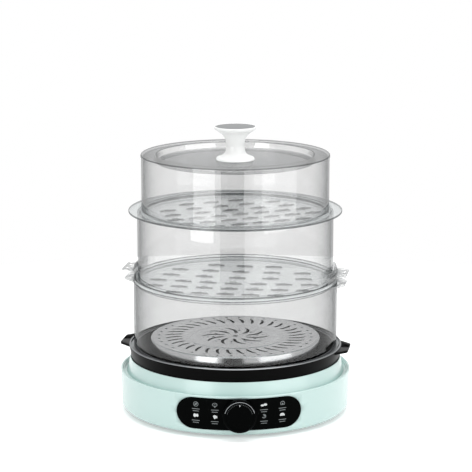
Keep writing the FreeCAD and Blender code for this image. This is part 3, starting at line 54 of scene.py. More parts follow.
def add(tree, kind, inputs=None, **settings):
    """Adds a node; an input's value is a constant or the socket that feeds it."""
    node = tree.nodes.new(kind)
    for name, value in settings.items():
        setattr(node, name, value)
    for key, value in (inputs or {}).items():
        if isinstance(value, bpy.types.NodeSocket):
            tree.links.new(value, node.inputs[key])
        else:
            node.inputs[key].default_value = value
    return node


def math_node(tree, operation, a, b=0.0, clamp=False):
    return add(tree, "ShaderNodeMath", {0: a, 1: b}, operation=operation, use_clamp=clamp).outputs[0]


def between(tree, factor, low, high):
    """Float that runs from low to high as factor runs from 0 to 1."""
    return add(tree, "ShaderNodeMapRange", {"Value": factor, "To Min": low, "To Max": high}).outputs[0]


def noise(tree, size_mm, stretch=(1, 1, 1), detail=3.0):
    """Noise in object coordinates whose blobs are size_mm across."""
    place = add(tree, "ShaderNodeTexCoord").outputs["Object"]
    place = add(tree, "ShaderNodeMapping", {"Vector": place, "Scale": stretch}).outputs[0]
    cloud = add(tree, "ShaderNodeTexNoise", {"Vector": place, "Scale": 1 / (size_mm * MM), "Detail": detail})
    return cloud.outputs["Fac"]


def surface(name, colour, rough, metal=0.0, mottle=0.03, mottle_mm=30, grain_mm=0.5,
            grain=0.03, spread=0.05, stretch=(1, 1, 1), coat=0.0, specular=0.5):
    """Solid material: uneven colour, uneven gloss and a fine relief."""
    made = bpy.data.materials.new(name)
    made.use_nodes = True
    tree = made.node_tree
    tree.nodes.clear()
    base = linear(colour)
    dark = tuple(c * (1 - mottle) for c in base[:3]) + (1.0,)
    cloud = noise(tree, mottle_mm)
    tone = add(tree, "ShaderNodeMix", {"Factor": cloud}, data_type="RGBA")
    tone.inputs[6].default_value = dark
    tone.inputs[7].default_value = base
    fine = noise(tree, grain_mm, stretch)
    relief = add(tree, "ShaderNodeBump", {"Height": fine, "Strength": grain, "Distance": 0.1 * MM})
    shade = add(tree, "ShaderNodeBsdfPrincipled", {
        "Base Color": tone.outputs[2],
        "Metallic": metal,
        "Roughness": between(tree, fine, rough - spread / 2, rough + spread / 2),
        "Coat Weight": coat,
        "Specular IOR Level": specular,
        "Normal": relief.outputs[0],
    })
    add(tree, "ShaderNodeOutputMaterial", {"Surface": shade.outputs[0]})
    return made


def paint(node, material):
    """Gives a CAD node that stays as it is its material."""
    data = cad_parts[node].data
    data.materials.clear()
    data.materials.append(material)


def smooth(mesh):
    """Smooth faces, parted where they meet at more than the crease's angle."""
    mesh.shade_smooth()
    mesh.set_sharp_from_angle(angle=math.radians(CREASE))


def new_object(name, work, material=None, curved=True):
    """Turns a finished bmesh into an object of the scene."""
    mesh = bpy.data.meshes.new(name)
    work.to_mesh(mesh)
    work.free()
    if curved:
        smooth(mesh)
    item = bpy.data.objects.new(name, mesh)
    bpy.context.scene.collection.objects.link(item)
    if material:
        mesh.materials.append(material)
    return item


def from_cad(name, node, material, weld=0.002):
    """Copy of a CAD node's mesh with its corners merged and its curves smooth."""
    work = bmesh.new()
    work.from_mesh(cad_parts[node].data)
    bmesh.ops.remove_doubles(work, verts=work.verts, dist=weld * MM)
    return new_object(name, work, material)


def settle(item, body, slot, *nodes):
    """Hands a finished piece to the frame in place of its CAD nodes."""
    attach(item, body)
    if nodes:
        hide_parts(*nodes)
    return item


# Moulded ABS cover: fine spark-eroded grain, nearly matt.
cover_plastic = surface("ABS_moulded_grained", "#B9CFCB", 0.5, mottle=0.05, grain_mm=0.4, grain=0.25)
settle(from_cad("bottom_cover_plate", "bottom_cover", cover_plastic), "base", "cover_plastic", "bottom_cover")

# Feet
# Four soft feet with a rounded edge, each pulled through a hole in the cover
# by its own button head. Moulded black rubber.

FOOT = {"radius": 9.0, "neck": 3.0, "head": 4.4, "low": 0.0, "seat": 4.0, "top": 6.5, "crown": 8.0}
FOOT_CIRCLE = 116.0


def rounded(corners, steps=5):
    """Points of a closed section whose (a, b, radius) corners are rounded."""
    points = []
    count = len(corners)
    for index, (a, b, radius) in enumerate(corners):
        here = Vector((a, b))
        if radius == 0:
            points.append(here)
            continue
        back = Vector(corners[index - 1][:2]) - here
        ahead = Vector(corners[(index + 1) % count][:2]) - here
        half = back.angle(ahead) / 2
        reach = min(radius / math.tan(half), back.length * 0.98, ahead.length * 0.98)
        radius = reach * math.tan(half)
        back.normalize()
        ahead.normalize()
        middle = here + (back + ahead).normalized() * (radius / math.sin(half))
        first = here + back * reach - middle
        last = here + ahead * reach - middle
        swing = first.angle_signed(last)
        for step in range(steps + 1):
            turn = -swing * step / steps
            points.append(middle + Matrix.Rotation(turn, 2) @ first)
    return points


def lathe(name, corners, material=None, steps=192, sweep=360.0, start=0.0, axis="Z", at=(0, 0, 0), soft=5):
    """Closed section of (radius, height, rounding) corners turned into a mesh."""
    section = rounded(corners, soft)
    whole = sweep >= 360
    rows = steps if whole else steps + 1
    work = bmesh.new()
    rings = []
    for row in range(rows):
        turn = math.radians(start + sweep * row / steps)
        rings.append([
            work.verts.new((p.x * math.cos(turn) * MM, p.x * math.sin(turn) * MM, p.y * MM)) for p in section
        ])
    count = len(section)
    for row in range(rows if whole else rows - 1):
        one, two = rings[row], rings[(row + 1) % rows]
        for i in range(count):
            j = (i + 1) % count
            if max(section[i].x, section[j].x) > 1e-4:
                work.faces.new((one[i], one[j], two[j], two[i]))
    if not whole:
        work.faces.new(rings[0])
        work.faces.new(rings[-1])
    bmesh.ops.remove_doubles(work, verts=work.verts, dist=1e-7)
    bmesh.ops.dissolve_degenerate(work, edges=work.edges, dist=1e-8)
    bmesh.ops.recalc_face_normals(work, faces=work.faces)
    if axis == "-Y":
        bmesh.ops.rotate(work, verts=work.verts, matrix=Matrix.Rotation(math.pi / 2, 3, "X"))
    bmesh.ops.translate(work, verts=work.verts, vec=Vector(at) * MM)
    return new_object(name, work, material)


def new_tree(name, **numbers):
    """Node tree that takes a geometry, the named numbers and a material."""
    tree = bpy.data.node_groups.new(name, "GeometryNodeTree")
    for label, kind in {"Geometry": "Geometry", **numbers, "Material": "Material"}.items():
        tree.interface.new_socket(label.replace("_", " "), in_out="INPUT", socket_type="NodeSocket" + kind)
    tree.interface.new_socket("Geometry", in_out="OUTPUT", socket_type="NodeSocketGeometry")
    return tree, add(tree, "NodeGroupInput").outputs


def ring_tree():
    """Sets copies of its geometry round +Z, then makes them real."""
    tree, given = new_tree("polar_array", Count="Int", Start_Angle="Float", Radius="Float", Height="Float")
    step = add(tree, "ShaderNodeMath", {0: math.tau, 1: given["Count"]}, operation="DIVIDE").outputs[0]
    turn = math_node(tree, "MULTIPLY", add(tree, "GeometryNodeInputIndex").outputs[0], step)
    turn = math_node(tree, "ADD", turn, given["Start Angle"])
    x = math_node(tree, "MULTIPLY", math_node(tree, "COSINE", turn), given["Radius"])
    y = math_node(tree, "MULTIPLY", math_node(tree, "SINE", turn), given["Radius"])
    spot = add(tree, "ShaderNodeCombineXYZ", {"X": x, "Y": y, "Z": given["Height"]}).outputs[0]
    facing = add(tree, "ShaderNodeCombineXYZ", {"Z": turn}).outputs[0]
    points = add(tree, "GeometryNodePoints", {"Count": given["Count"], "Position": spot}).outputs[0]
    copies = add(tree, "GeometryNodeInstanceOnPoints", {
        "Points": points, "Instance": given["Geometry"], "Rotation": facing,
    })
    real = add(tree, "GeometryNodeRealizeInstances", {0: copies.outputs[0]}).outputs[0]
    done = add(tree, "GeometryNodeSetMaterial", {"Geometry": real, "Material": given["Material"]}).outputs[0]
    add(tree, "NodeGroupOutput", {0: done})
    return tree


def bake(item):
    """Turns an object's modifiers into plain mesh."""
    bpy.context.view_layer.update()
    seen = item.evaluated_get(bpy.context.evaluated_depsgraph_get())
    mesh = bpy.data.meshes.new_from_object(seen)
    item.modifiers.clear()
    item.data = mesh
    return item


def run(item, tree, **inputs):
    """Runs a node tree on an object with its inputs set by name, then bakes it."""
    modifier = item.modifiers.new(tree.name, "NODES")
    modifier.node_group = tree
    for socket in tree.interface.items_tree:
        key = socket.name.replace(" ", "_")
        if socket.item_type == "SOCKET" and socket.in_out == "INPUT" and key in inputs:
            modifier[socket.identifier] = inputs[key]
    return bake(item)


polar = ring_tree()

# Black moulded SBR rubber: matt, with a faint bloom.
rubber = surface("SBR_rubber_moulded", "#222425", 0.75, mottle=0.15, mottle_mm=6, grain_mm=0.3, grain=0.2)
foot = lathe("rubber_feet_set", [
    (0, FOOT["low"], 0),
    (FOOT["radius"], FOOT["low"], 1.0),
    (FOOT["radius"], FOOT["seat"], 0.5),
    (FOOT["neck"], FOOT["seat"], 0.1),
    (FOOT["neck"], FOOT["top"], 0.1),
    (FOOT["head"], FOOT["top"], 0.3),
    (FOOT["head"], FOOT["crown"], 0.6),
    (0, FOOT["crown"], 0),
], steps=40)
run(foot, polar, Count=4, Radius=FOOT_CIRCLE * MM, Material=rubber)
settle(foot, "base", "black_foot", "rubber_feet")

# Screws
# Pan-head screws with a cross recess: four through the cover, three up into
# the plate's posts and four that hold the liner. Cold-headed zinc-plated steel.

SCREW = {"head": 3.0, "tall": 1.8, "shank": 1.45, "recess": 1.1, "slit": 0.25, "deep": 0.8}
# Each set: node, shank's length, circle, number, first angle, height of the seat.
SCREW_SETS = (
    ("cover_screws", 9.4, 128.0, 4, 45, 5.0),
    ("post_screws", 9.4, 74.0, 3, 0, 4.0),
    ("liner_screws", 3.9, 138.2, 4, 45, 49.2),
)


def carve(item, cutter):
    """Cuts one closed mesh out of another and deletes the cutter."""
    modifier = item.modifiers.new("cut", "BOOLEAN")
    modifier.operation = "DIFFERENCE"
    modifier.solver = "EXACT"
    modifier.object = cutter
    bake(item)
    bpy.data.objects.remove(cutter)
    return item


def plate(name, outline, low, high, material=None, bevel=0.0, soft=6):
    """Flat plate between two heights from an outline of (x, y, rounding)."""
    points = rounded(outline, soft)
    work = bmesh.new()
    bottom = [work.verts.new((p.x * MM, p.y * MM, low * MM)) for p in points]
    top = [work.verts.new((p.x * MM, p.y * MM, high * MM)) for p in points]
    work.faces.new(list(reversed(bottom)))
    work.faces.new(top)
    for i in range(len(points)):
        j = (i + 1) % len(points)
        work.faces.new((bottom[i], bottom[j], top[j], top[i]))
    bmesh.ops.remove_doubles(work, verts=work.verts, dist=1e-7)
    bmesh.ops.recalc_face_normals(work, faces=work.faces)
    if bevel:
        edges = [e for e in work.edges if e.is_manifold and e.calc_face_angle() > 1.0]
        bmesh.ops.bevel(work, geom=edges, offset=bevel * MM, segments=3, affect="EDGES", profile=0.5)
    return new_object(name, work, material)


def screw(name, bite):
    """One screw, head down at the origin, its shank pointing up."""
    body = lathe(name, [
        (0, -SCREW["tall"], 0),
        (SCREW["head"], -SCREW["tall"], 0.9),
        (SCREW["head"], 0, 0.15),
        (SCREW["shank"], 0, 0.1),
        (SCREW["shank"], bite, 0.4),
        (0, bite, 0),
    ], steps=24)
    half, slit, top = SCREW["recess"], SCREW["slit"], -SCREW["tall"]
    for turn in (0, 90):
        blade = plate("blade", [
            (-half, -slit, 0), (half, -slit, 0), (half, slit, 0), (-half, slit, 0),
        ], top - 0.5, top + SCREW["deep"])
        blade.data.transform(Matrix.Rotation(math.radians(turn), 4, "Z"))
        carve(body, blade)
    return body


# Zinc-plated steel: bright, slightly blue, faint drawing marks.
zinc = surface("steel_zinc_plated", "#C9CCD0", 0.3, metal=1.0, mottle=0.08, mottle_mm=2,
               grain_mm=0.15, grain=0.1)
for node, bite, circle, count, start, height in SCREW_SETS:
    one = screw(node + "_set", bite)
    run(one, polar, Count=count, Start_Angle=math.radians(start), Radius=circle * MM,
        Height=height * MM, Material=zinc)
    settle(one, "base", "zinc_screw", node)
paint("board_screws", zinc)
paint("power_screws", zinc)

# Casing
# Round outer shell with a soft bottom edge and a sunk seat for the panel.
# Injection moulded in glossy mint ABS, in one shot, polished tool.

# Glossy mint ABS: almost no relief, a faint cloud in the colour.
mint = surface("ABS_gloss_moulded", "#C4DDD9", 0.24, mottle=0.02, mottle_mm=60,
               grain_mm=1.2, grain=0.012, coat=0.35)
settle(from_cad("casing_shell", "base_shell", mint), "base", "mint_shell", "base_shell")

# Ring
# Collar round the pan with a shallow gutter at its foot and a hollow flank
# that rises to a rounded lip. Same mint ABS, snapped on the casing's ledge.

RING = {"outer": 146.6, "lip": 55.0, "seat": 49.5, "trough": 52.0, "trough_out": 145.35,
        "trough_in": 141.95, "bend": (139.8, 61.0), "top": 70.9, "mouth": 136.2, "skirt": 50.0,
        "skirt_out": 138.7, "hollow": (141.2, 58.5)}
collar = lathe("collar_ring", [
    (RING["outer"], RING["seat"], 0.2),
    (RING["outer"], RING["lip"], 0.4),
    (RING["trough_out"], RING["lip"], 0.4),
    (RING["trough_out"], RING["trough"], 0.6),
    (RING["trough_in"], RING["trough"], 1.0),
    (RING["bend"][0], RING["bend"][1], 14.0),
    (RING["mouth"] + 1.4, RING["top"], 0.6),
    (RING["mouth"], RING["top"], 0.6),
    (RING["mouth"], RING["skirt"], 0.2),
    (RING["skirt_out"], RING["skirt"], 0.2),
    (RING["skirt_out"], RING["hollow"][1], 0.5),
    (RING["hollow"][0], RING["seat"], 0.2),
], mint, steps=256, soft=8)
settle(collar, "base", "mint_shell", "top_ring")

# Heater and its well
# Pressed bowl between collar and heater, the cast heating disc with its tube
# element, the shield below it and the posts that carry them.

WELL = {"mouth": 88.0, "foot": 118.8, "bend": 128.0, "rim": 140.8, "floor": 23.2, "ledge": 49.2,
        "sheet": 0.8}
HEATER = {"hole": 11.4, "radius": 85.0, "low": 24.0, "top": 30.0}

# Stainless steel sheet, deep drawn and brushed round its axis.
steel = surface("stainless_steel_drawn", "#B9BCBE", 0.32, metal=1.0, mottle=0.08, mottle_mm=12,
                grain_mm=0.4, grain=0.12, stretch=(1, 1, 12), spread=0.1)
# Die-cast aluminium, as cast: dull and slightly pitted.
cast = surface("aluminium_die_cast", "#A3A6A8", 0.48, metal=1.0, mottle=0.15, mottle_mm=8,
               grain_mm=0.8, grain=0.3)
# Steel tube of the element, blued by heat.
tube_steel = surface("steel_tube_heat_tinted", "#7C7770", 0.42, metal=1.0, mottle=0.3, mottle_mm=15,
                     grain_mm=0.4)
low, high, sheet = WELL["floor"], WELL["ledge"], WELL["sheet"]
settle(lathe("well_bowl", [
    (WELL["mouth"], low, 0),
    (WELL["foot"], low, 3.0),
    (WELL["bend"], high, 0.4),
    (WELL["rim"], high, 0),
    (WELL["rim"], high + sheet, 0),
    (WELL["bend"] - sheet, high + sheet, 1.0),
    (WELL["foot"] - sheet, low + sheet, 2.4),
    (WELL["mouth"], low + sheet, 0),
], steel, steps=192), "base", "steel", "well_liner")
settle(lathe("heating_disc", [
    (HEATER["hole"], HEATER["low"], 0),
    (HEATER["radius"], HEATER["low"], 1.0),
    (HEATER["radius"], HEATER["top"], 1.2),
    (HEATER["hole"], HEATER["top"], 0.5),
], cast, steps=128), "base", "cast_alloy", "heating_plate")
paint("heat_shield", steel)
paint("sensor_cup", steel)
paint("plate_posts", cast)
paint("heating_element", tube_steel)
# Moulded phenolic fuse bodies, dark and matt.
fuse_body = surface("phenolic_moulded", "#2B2A28", 0.6, mottle=0.1, mottle_mm=3, grain=0.2)
paint("thermal_fuses", fuse_body)
# Turned brass, bright where it was cut.
brass = surface("brass_turned", "#C8A65A", 0.25, metal=1.0, mottle=0.1, mottle_mm=3, grain_mm=0.2, grain=0.1)
paint("element_terminals", brass)

# Sensor
# Sprung cap in the middle of the heater that the pan pushes down. Drawn
# aluminium over a cold-wound steel spring.

CAP = {"radius": 10.0, "wall": 1.2, "low": 21.0, "top": 30.0}
settle(lathe("sensor_cap_drawn", [
    (0, CAP["top"], 0),
    (CAP["radius"], CAP["top"], 1.0),
    (CAP["radius"], CAP["low"], 0.3),
    (CAP["radius"] - CAP["wall"], CAP["low"], 0.3),
    (CAP["radius"] - CAP["wall"], CAP["top"] - CAP["wall"], 0.5),
    (0, CAP["top"] - CAP["wall"], 0),
], cast, steps=64), "sensor", "cast_alloy", "sensor_cap")
# Cold-drawn spring wire.
wire = surface("steel_wire_drawn", "#9FA3A6", 0.3, metal=1.0, mottle=0.05, mottle_mm=2,
               grain_mm=0.2, grain=0.1)
paint("sensor_spring", wire)

# Boards, wires, inlet
# Two circuit boards, the flat cable between them, the mains and heater leads
# and the socket at the back. Stock parts, screwed or clipped inside the base.

# Solder mask over woven glass fibre.
mask = surface("FR4_solder_mask", "#1F5B3A", 0.35, mottle=0.2, mottle_mm=1.5, grain_mm=0.6, grain=0.2)
# Component bodies of moulded epoxy.
epoxy = surface("epoxy_moulded", "#1B1B1D", 0.5, mottle=0.1, mottle_mm=2, grain_mm=0.2, grain=0.2)
# Dark polyamide of the socket, terminals and encoder.
nylon = surface("polyamide_moulded_black", "#17191A", 0.45, mottle=0.08, mottle_mm=10,
                grain_mm=0.35, grain=0.2)
# Extruded silicone cover of the leads.
silicone = surface("silicone_extruded", "#C4C4BE", 0.55, mottle=0.06, mottle_mm=4, grain_mm=0.5, grain=0.1)
# Clear polycarbonate rods that bring the lights to the lens.
rod_clear = surface("polycarbonate_light_rod", "#DDE5E6", 0.15, mottle=0.02, mottle_mm=3)
for node, finish in (
    ("control_board", mask), ("power_board", mask), ("power_parts", epoxy), ("board_connector", epoxy),
    ("ribbon_plug", epoxy), ("terminal_block", nylon), ("mains_leads", silicone), ("heater_leads", silicone),
    ("ribbon_cable", silicone), ("encoder_body", nylon), ("encoder_nut", zinc), ("encoder_plunger", nylon),
    ("encoder_shaft", cast), ("inlet_pins", brass), ("light_pipes", rod_clear), ("status_leds", rod_clear),
):
    paint(node, finish)
settle(from_cad("mains_socket", "inlet_socket", nylon), "base", "dark_plastic", "inlet_socket")

# Panel
# Curved lens that wraps the front of the casing, with eight printed pictures
# over their lights. Moulded in black acrylic, printed from behind, glued in.

PANEL_MID = 32.7
ICONS = {"columns": (-54.2, -30.7, 30.7, 54.2), "rows": (44.6, 29.6)}
PRINT_LIFT = 0.1
LENS = {"radius": 150.3, "taper": 1.5, "top": 56.0, "tall": 52.0}


def wall_radius(z):
    """Radius of the lens's outer face at a height."""
    return LENS["radius"] - LENS["taper"] * (LENS["top"] - z) / LENS["tall"]


def on_wall(x, z):
    """Point just in front of the lens at a place seen from the front."""
    reach = wall_radius(z) + PRINT_LIFT
    return Vector((x, -math.sqrt(reach * reach - x * x), z)) * MM


def printed(name, shapes, material):
    """Flat printed shapes, each a list of (x, z) points, laid on the lens."""
    work = bmesh.new()
    for shape in shapes:
        made = work.faces.new([work.verts.new(on_wall(x, z)) for x, z in shape])
        made.normal_update()
        if made.normal.y > 0:
            made.normal_flip()
    bmesh.ops.triangulate(work, faces=work.faces)
    return new_object(name, work, material, curved=False)


def oval(x, z, rx, rz, start=0, end=360, count=24, inner=0.0):
    """Outline of an oval, or of a band of it where inner is the inner share."""
    angles = [math.radians(start + (end - start) * i / count) for i in range(count + 1)]
    outer = [(x + rx * math.cos(t), z + rz * math.sin(t)) for t in angles]
    if inner == 0:
        return outer[:-1] if end - start >= 360 else outer
    inside = [(x + inner * rx * math.cos(t), z + inner * rz * math.sin(t)) for t in angles]
    return outer + inside[::-1]


def bands(x, z, rx, rz, inner, start=0, end=360, parts=24):
    """Ring or arc as small four-cornered pieces, so that it follows the lens."""
    step = (end - start) / parts
    return [oval(x, z, rx, rz, start + i * step, start + (i + 1) * step, 1, inner) for i in range(parts)]


def bar(x, z, width, tall):
    return [(x - width / 2, z - tall / 2), (x + width / 2, z - tall / 2),
            (x + width / 2, z + tall / 2), (x - width / 2, z + tall / 2)]


# Black acrylic, polished: deep gloss with the least orange peel.
lens_black = surface("acrylic_moulded_black", "#040505", 0.1, mottle=0.1, mottle_mm=20, grain_mm=2.5,
                     grain=0.01, spread=0.04, specular=0.015)
settle(from_cad("panel_lens_curved", "control_panel", lens_black), "base", "panel_lens", "control_panel")
# Screen-printed ink: pale grey and matt.
ink = surface("ink_screen_printed", "#7E8485", 0.6, mottle=0.25, mottle_mm=1.2, grain_mm=0.3)
ink_white = surface("ink_screen_printed_white", "#DADEDE", 0.6, mottle=0.15, mottle_mm=1.2, grain_mm=0.3)
left_a, left_b, right_b, right_a = ICONS["columns"]
high, low = ICONS["rows"]
grey = []
white = []
grey += bands(left_a, high, 3.2, 3.2, 0.8)
grey += [[
    (left_a - 2.2, high - 1.6), (left_a - 1.6, high - 2.2),
    (left_a + 2.2, high + 1.6), (left_a + 1.6, high + 2.2),
]]
grey += bands(left_a, high, 1.5, 1.5, 0.6, parts=12)
grey += bands(left_b, high + 0.6, 3.2, 2.4, 0.76)
grey += [[(left_b - 1.4, high - 1.6), (left_b + 1.4, high - 1.6), (left_b, high - 3.4)]]
grey += [bar(left_b, high + 0.6, 2.4, 0.6)]
white += [oval(right_b - 2.0, high - 0.6, 2.2, 1.3), oval(right_b + 1.6, high + 0.2, 2.4, 1.5)]
grey += bands(right_a, high, 2.8, 2.8, 0.74, -30, 210)
grey += [oval(right_a, high - 0.6, 1.0, 1.0, count=12), bar(right_a, high - 1.9, 5.4, 0.6)]
white += [oval(left_a - 1.3, low + 0.2, 1.8, 2.4), oval(left_a + 1.7, low + 0.4, 1.5, 2.0)]
white += [oval(left_b, low + 0.4, 2.2, 1.7), [
    (left_b - 0.7, low - 2.8), (left_b + 0.7, low - 2.8), (left_b + 1.8, low), (left_b - 1.8, low),
]]
white += [oval(left_b + 2.3, low - 0.4, 1.0, 1.6, count=12)]
grey += bands(right_b, low + 0.2, 2.7, 2.7, 0.62, -150, 120)
grey += [oval(right_b + 0.6, low + 0.6, 1.1, 0.9, count=12)]
white += [oval(right_a - 0.3, low + 0.3, 2.9, 1.9, 0, 180), bar(right_a - 0.1, low - 0.6, 6.2, 1.5)]
for x in ICONS["columns"]:
    for z in ICONS["rows"]:
        grey += [bar(x, z - 6.3, 9.6, 0.8), bar(x, z - 9.0, 7.4, 0.8)]
settle(printed("panel_print_grey", grey, ink), "base", "panel_lens")
settle(printed("panel_print_white", white, ink_white), "base", "panel_lens")

# Knob
# Round knob that is pushed on the encoder's shaft, with a bevelled front edge,
# a plain inlaid face and a dotted scale. Moulded in glossy black ABS.

KNOB = {"radius": 21.5, "back": -151.45, "deep": 8.6, "bevel": 2.4, "hollow": 17.5, "sunk": 3.0,
        "face": 17.0, "inlay": 0.8, "hole": 3.05, "hole_end": 7.25, "line": (18.75, 19.25)}
SCALE = {"dots": 44, "circle": 16.1, "dot": 0.32, "sunk": 0.1, "proud": 0.03, "above": 4.0}

# Glossy black ABS.
knob_black = surface("ABS_gloss_black_moulded", "#050606", 0.16, mottle=0.1, mottle_mm=20, grain_mm=2.0,
                     grain=0.012, spread=0.05, specular=0.01)
# Painted highlight on the knob's bevel: a bright metal arc over the upper part of the rim only, where the
# light falls.
rim_highlight_paint = surface("foil_hot_stamped", "#A9ADAF", 0.3, metal=1.0, mottle=0.1, mottle_mm=4, grain_mm=0.4)
spot = (0, KNOB["back"], PANEL_MID)
deep = KNOB["deep"]
settle(lathe("knob_body", [
    (KNOB["hollow"], 0, 0.5),
    (KNOB["radius"], 0, 0.8),
    (KNOB["radius"], deep - KNOB["bevel"], 1.2),
    (KNOB["radius"] - KNOB["bevel"], deep, 0.6),
    (KNOB["face"] + 0.05, deep, 0.1),
    (KNOB["face"] + 0.05, deep - KNOB["inlay"], 0),
    (0, deep - KNOB["inlay"], 0),
    (0, KNOB["hole_end"], 0),
    (KNOB["hole"], KNOB["hole_end"], 0),
    (KNOB["hole"], KNOB["sunk"], 0.2),
    (KNOB["hollow"], KNOB["sunk"], 0.5),
], knob_black, steps=128, axis="-Y", at=spot), "knob", "black_knob", "control_knob")
settle(lathe("knob_inlay", [
    (0, deep - KNOB["inlay"], 0),
    (KNOB["face"], deep - KNOB["inlay"], 0),
    (KNOB["face"], deep, 0.3),
    (0, deep, 0),
], knob_black, steps=96, axis="-Y", at=spot), "knob", "black_knob", "knob_face")
inner, outer = KNOB["line"]
# Painted highlight: the arc covers the upper part of the rim only.
line = lathe("knob_rim_line", [
    (inner, deep + 0.02, 0),
    (outer, deep + 0.02, 0),
    (outer, deep - 0.2, 0),
    (inner, deep - 0.2, 0),
], rim_highlight_paint, steps=60, sweep=150.0, start=15.0, axis="-Y", at=spot)
settle(line, "knob", "black_knob")
low, high = deep - SCALE["sunk"], deep + SCALE["proud"]
dot = lathe("knob_scale_dots", [
    (0, low, 0),
    (SCALE["dot"], low, 0),
    (SCALE["dot"], high, 0),
    (0, high, 0),
], steps=12)
run(dot, polar, Count=SCALE["dots"], Radius=SCALE["circle"] * MM, Material=ink)
# The scale is an arc: only the dots well above the knob's middle stay.
work = bmesh.new()
work.from_mesh(dot.data)
bmesh.ops.delete(work, geom=[v for v in work.verts if v.co.y < SCALE["above"] * MM], context="VERTS")
work.to_mesh(dot.data)
work.free()
dot.data.transform(Matrix.Translation(Vector(spot) * MM) @ Matrix.Rotation(math.pi / 2, 4, "X"))
settle(dot, "knob", "black_knob")
mark = plate("knob_pointer", [
    (-0.9, 15.2, 0), (0.9, 15.2, 0), (0, 13.2, 0),
], low, high, ink_white)
mark.data.transform(Matrix.Translation(Vector(spot) * MM) @ Matrix.Rotation(math.pi / 2, 4, "X"))
settle(mark, "knob", "black_knob")

# Pan
# Round pan that hangs in the collar, with a turned-down skirt, a bare machined
# rim and two lugs. Cast aluminium, non-stick coated inside and out.

LUG_TURN = -11.0
PAN = {"under": 30.0, "floor": 33.2, "rim": 88.2, "ledge": 86.6, "radius": 139.0, "mouth": 128.0,
       "foot": 108.5, "shelf": 82.6, "shelf_out": 135.6, "skirt": 68.2, "skirt_out": 135.4, "skirt_in": 132.2,
       "wall": 3.5, "seat": 136.4, "bevel": 1.2}
PAN_LUG = {"root": 134.5, "tip": 150.0, "root_half": 34.0, "tip_half": 19.0, "low": 83.8, "high": 86.8,
           "dimple": 5.0, "dimple_at": 144.5, "sunk": 0.8}


def joined(name, items):
    """Several objects as one, under the first one's materials in turn."""
    with bpy.context.temp_override(active_object=items[0], selected_editable_objects=items, object=items[0]):
        bpy.ops.object.join()
    items[0].name = name
    return items[0]


def pair(item, turn=LUG_TURN):
    """The same piece at both ends of the lugs' axis, as one mesh."""
    return run(item, polar, Count=2, Start_Angle=math.radians(turn), Material=item.data.materials[0])


# PTFE coating, sprayed and baked: satin black with a fine orange peel.
coating = surface("PTFE_coating_sprayed", "#050505", 0.34, mottle=0.2, mottle_mm=10,
                  grain_mm=0.9, grain=0.12, spread=0.1, specular=0.04)
# Rim where the coating was machined off: bare aluminium with turning marks.
bare = surface("aluminium_machined", "#8E9193", 0.34, metal=1.0, mottle=0.15, mottle_mm=6,
               grain_mm=0.3, grain=0.1)
vessel = lathe("pan_body", [
    (0, PAN["under"], 0),
    (PAN["foot"] + PAN["wall"], PAN["under"], 15.0),
    (PAN["mouth"] + PAN["wall"], PAN["shelf"], 0.6),
    (PAN["shelf_out"], PAN["shelf"], 0.6),
    (PAN["skirt_in"], PAN["skirt"], 0.8),
    (PAN["skirt_out"], PAN["skirt"], 0.8),
    (PAN["radius"], PAN["rim"] - PAN["bevel"], 0.8),
    (PAN["radius"] - PAN["bevel"], PAN["rim"], 0.5),
    (PAN["seat"], PAN["rim"], 0.4),
    (PAN["seat"], PAN["ledge"], 0.2),
    (PAN["mouth"], PAN["ledge"], 1.2),
    (PAN["foot"], PAN["floor"], 12.0),
    (0, PAN["floor"], 0),
], coating, steps=224, soft=6)
vessel.data.materials.append(bare)
for face in vessel.data.polygons:
    out, up = face.center.xy.length / MM, face.center.z / MM
    if up > PAN["ledge"] - 0.1 and out < PAN["radius"] - PAN["bevel"] / 2 and face.normal.z > 0.5:
        face.material_index = 1
root, tip = PAN_LUG["root"], PAN_LUG["tip"]
root_half, tip_half = PAN_LUG["root_half"], PAN_LUG["tip_half"]
ear = plate("pan_lug", [
    (root, -root_half, 0),
    (tip, -tip_half, 8.0),
    (tip, tip_half, 8.0),
    (root, root_half, 0),
], PAN_LUG["low"], PAN_LUG["high"], coating, bevel=0.7)
low, high, reach = PAN_LUG["high"] - PAN_LUG["sunk"], PAN_LUG["high"] + 1.2, PAN_LUG["dimple"]
dimple = lathe("dimple", [
    (0, low, 0), (reach, low, 0.6), (reach + 0.4, high, 0), (0, high, 0),
], steps=32, at=(PAN_LUG["dimple_at"], 0, 0))
pair(carve(ear, dimple))
settle(joined("pan_vessel", [vessel, ear]), "pan", "pan_coating", "pan")

# Rack
# Perforated disc that holds food above the water, with a flared skirt, a
# pressed ring and a flower of slots. Stamped and polished stainless steel.

RACK = {"top": 96.1, "sheet": 0.95, "radius": 110.4, "skirt": 80.1, "flare": 2.0, "sunk": 0.5,
        "bead": (54.5, 57.0, 64.0, 66.0), "margin": (104.0, 107.0)}
# Bent slots: inner radius, outer radius, width, bend, number, first angle.
RACK_SLOTS = ((69.0, 93.0, 4.0, 5.4, 36, 0.0), (14.0, 45.0, 4.6, 24.0, 10, 84.0))
# Round holes: radius, circle, number, first angle, and steps of the round.
RACK_HOLES = (
    (1.9, 100.0, 36, 5.0, 16),
    (2.0, 29.0, 10, 78.0, 12),
    (1.3, 36.8, 10, 80.0, 12),
    (1.1, 42.7, 10, 82.0, 12),
    (3.5, 0.0, 1, 0.0, 24),
)


def bore(radius, low, high, steps, x=0.0, y=0.0):
    """Closed cylinder that cuts a round hole."""
    return lathe("bore", [(0, low, 0), (radius, low, 0), (radius, high, 0), (0, high, 0)],
                 steps=steps, at=(x, y, 0))


def capsule(name, length, width, low, high):
    """Closed slot-shaped solid along X, centred on the origin."""
    half_length, half_width = length / 2, width / 2
    return plate(name, [
        (-half_length, -half_width, half_width * 0.99),
        (half_length, -half_width, half_width * 0.99),
        (half_length, half_width, half_width * 0.99),
        (-half_length, half_width, half_width * 0.99),
    ], low, high)


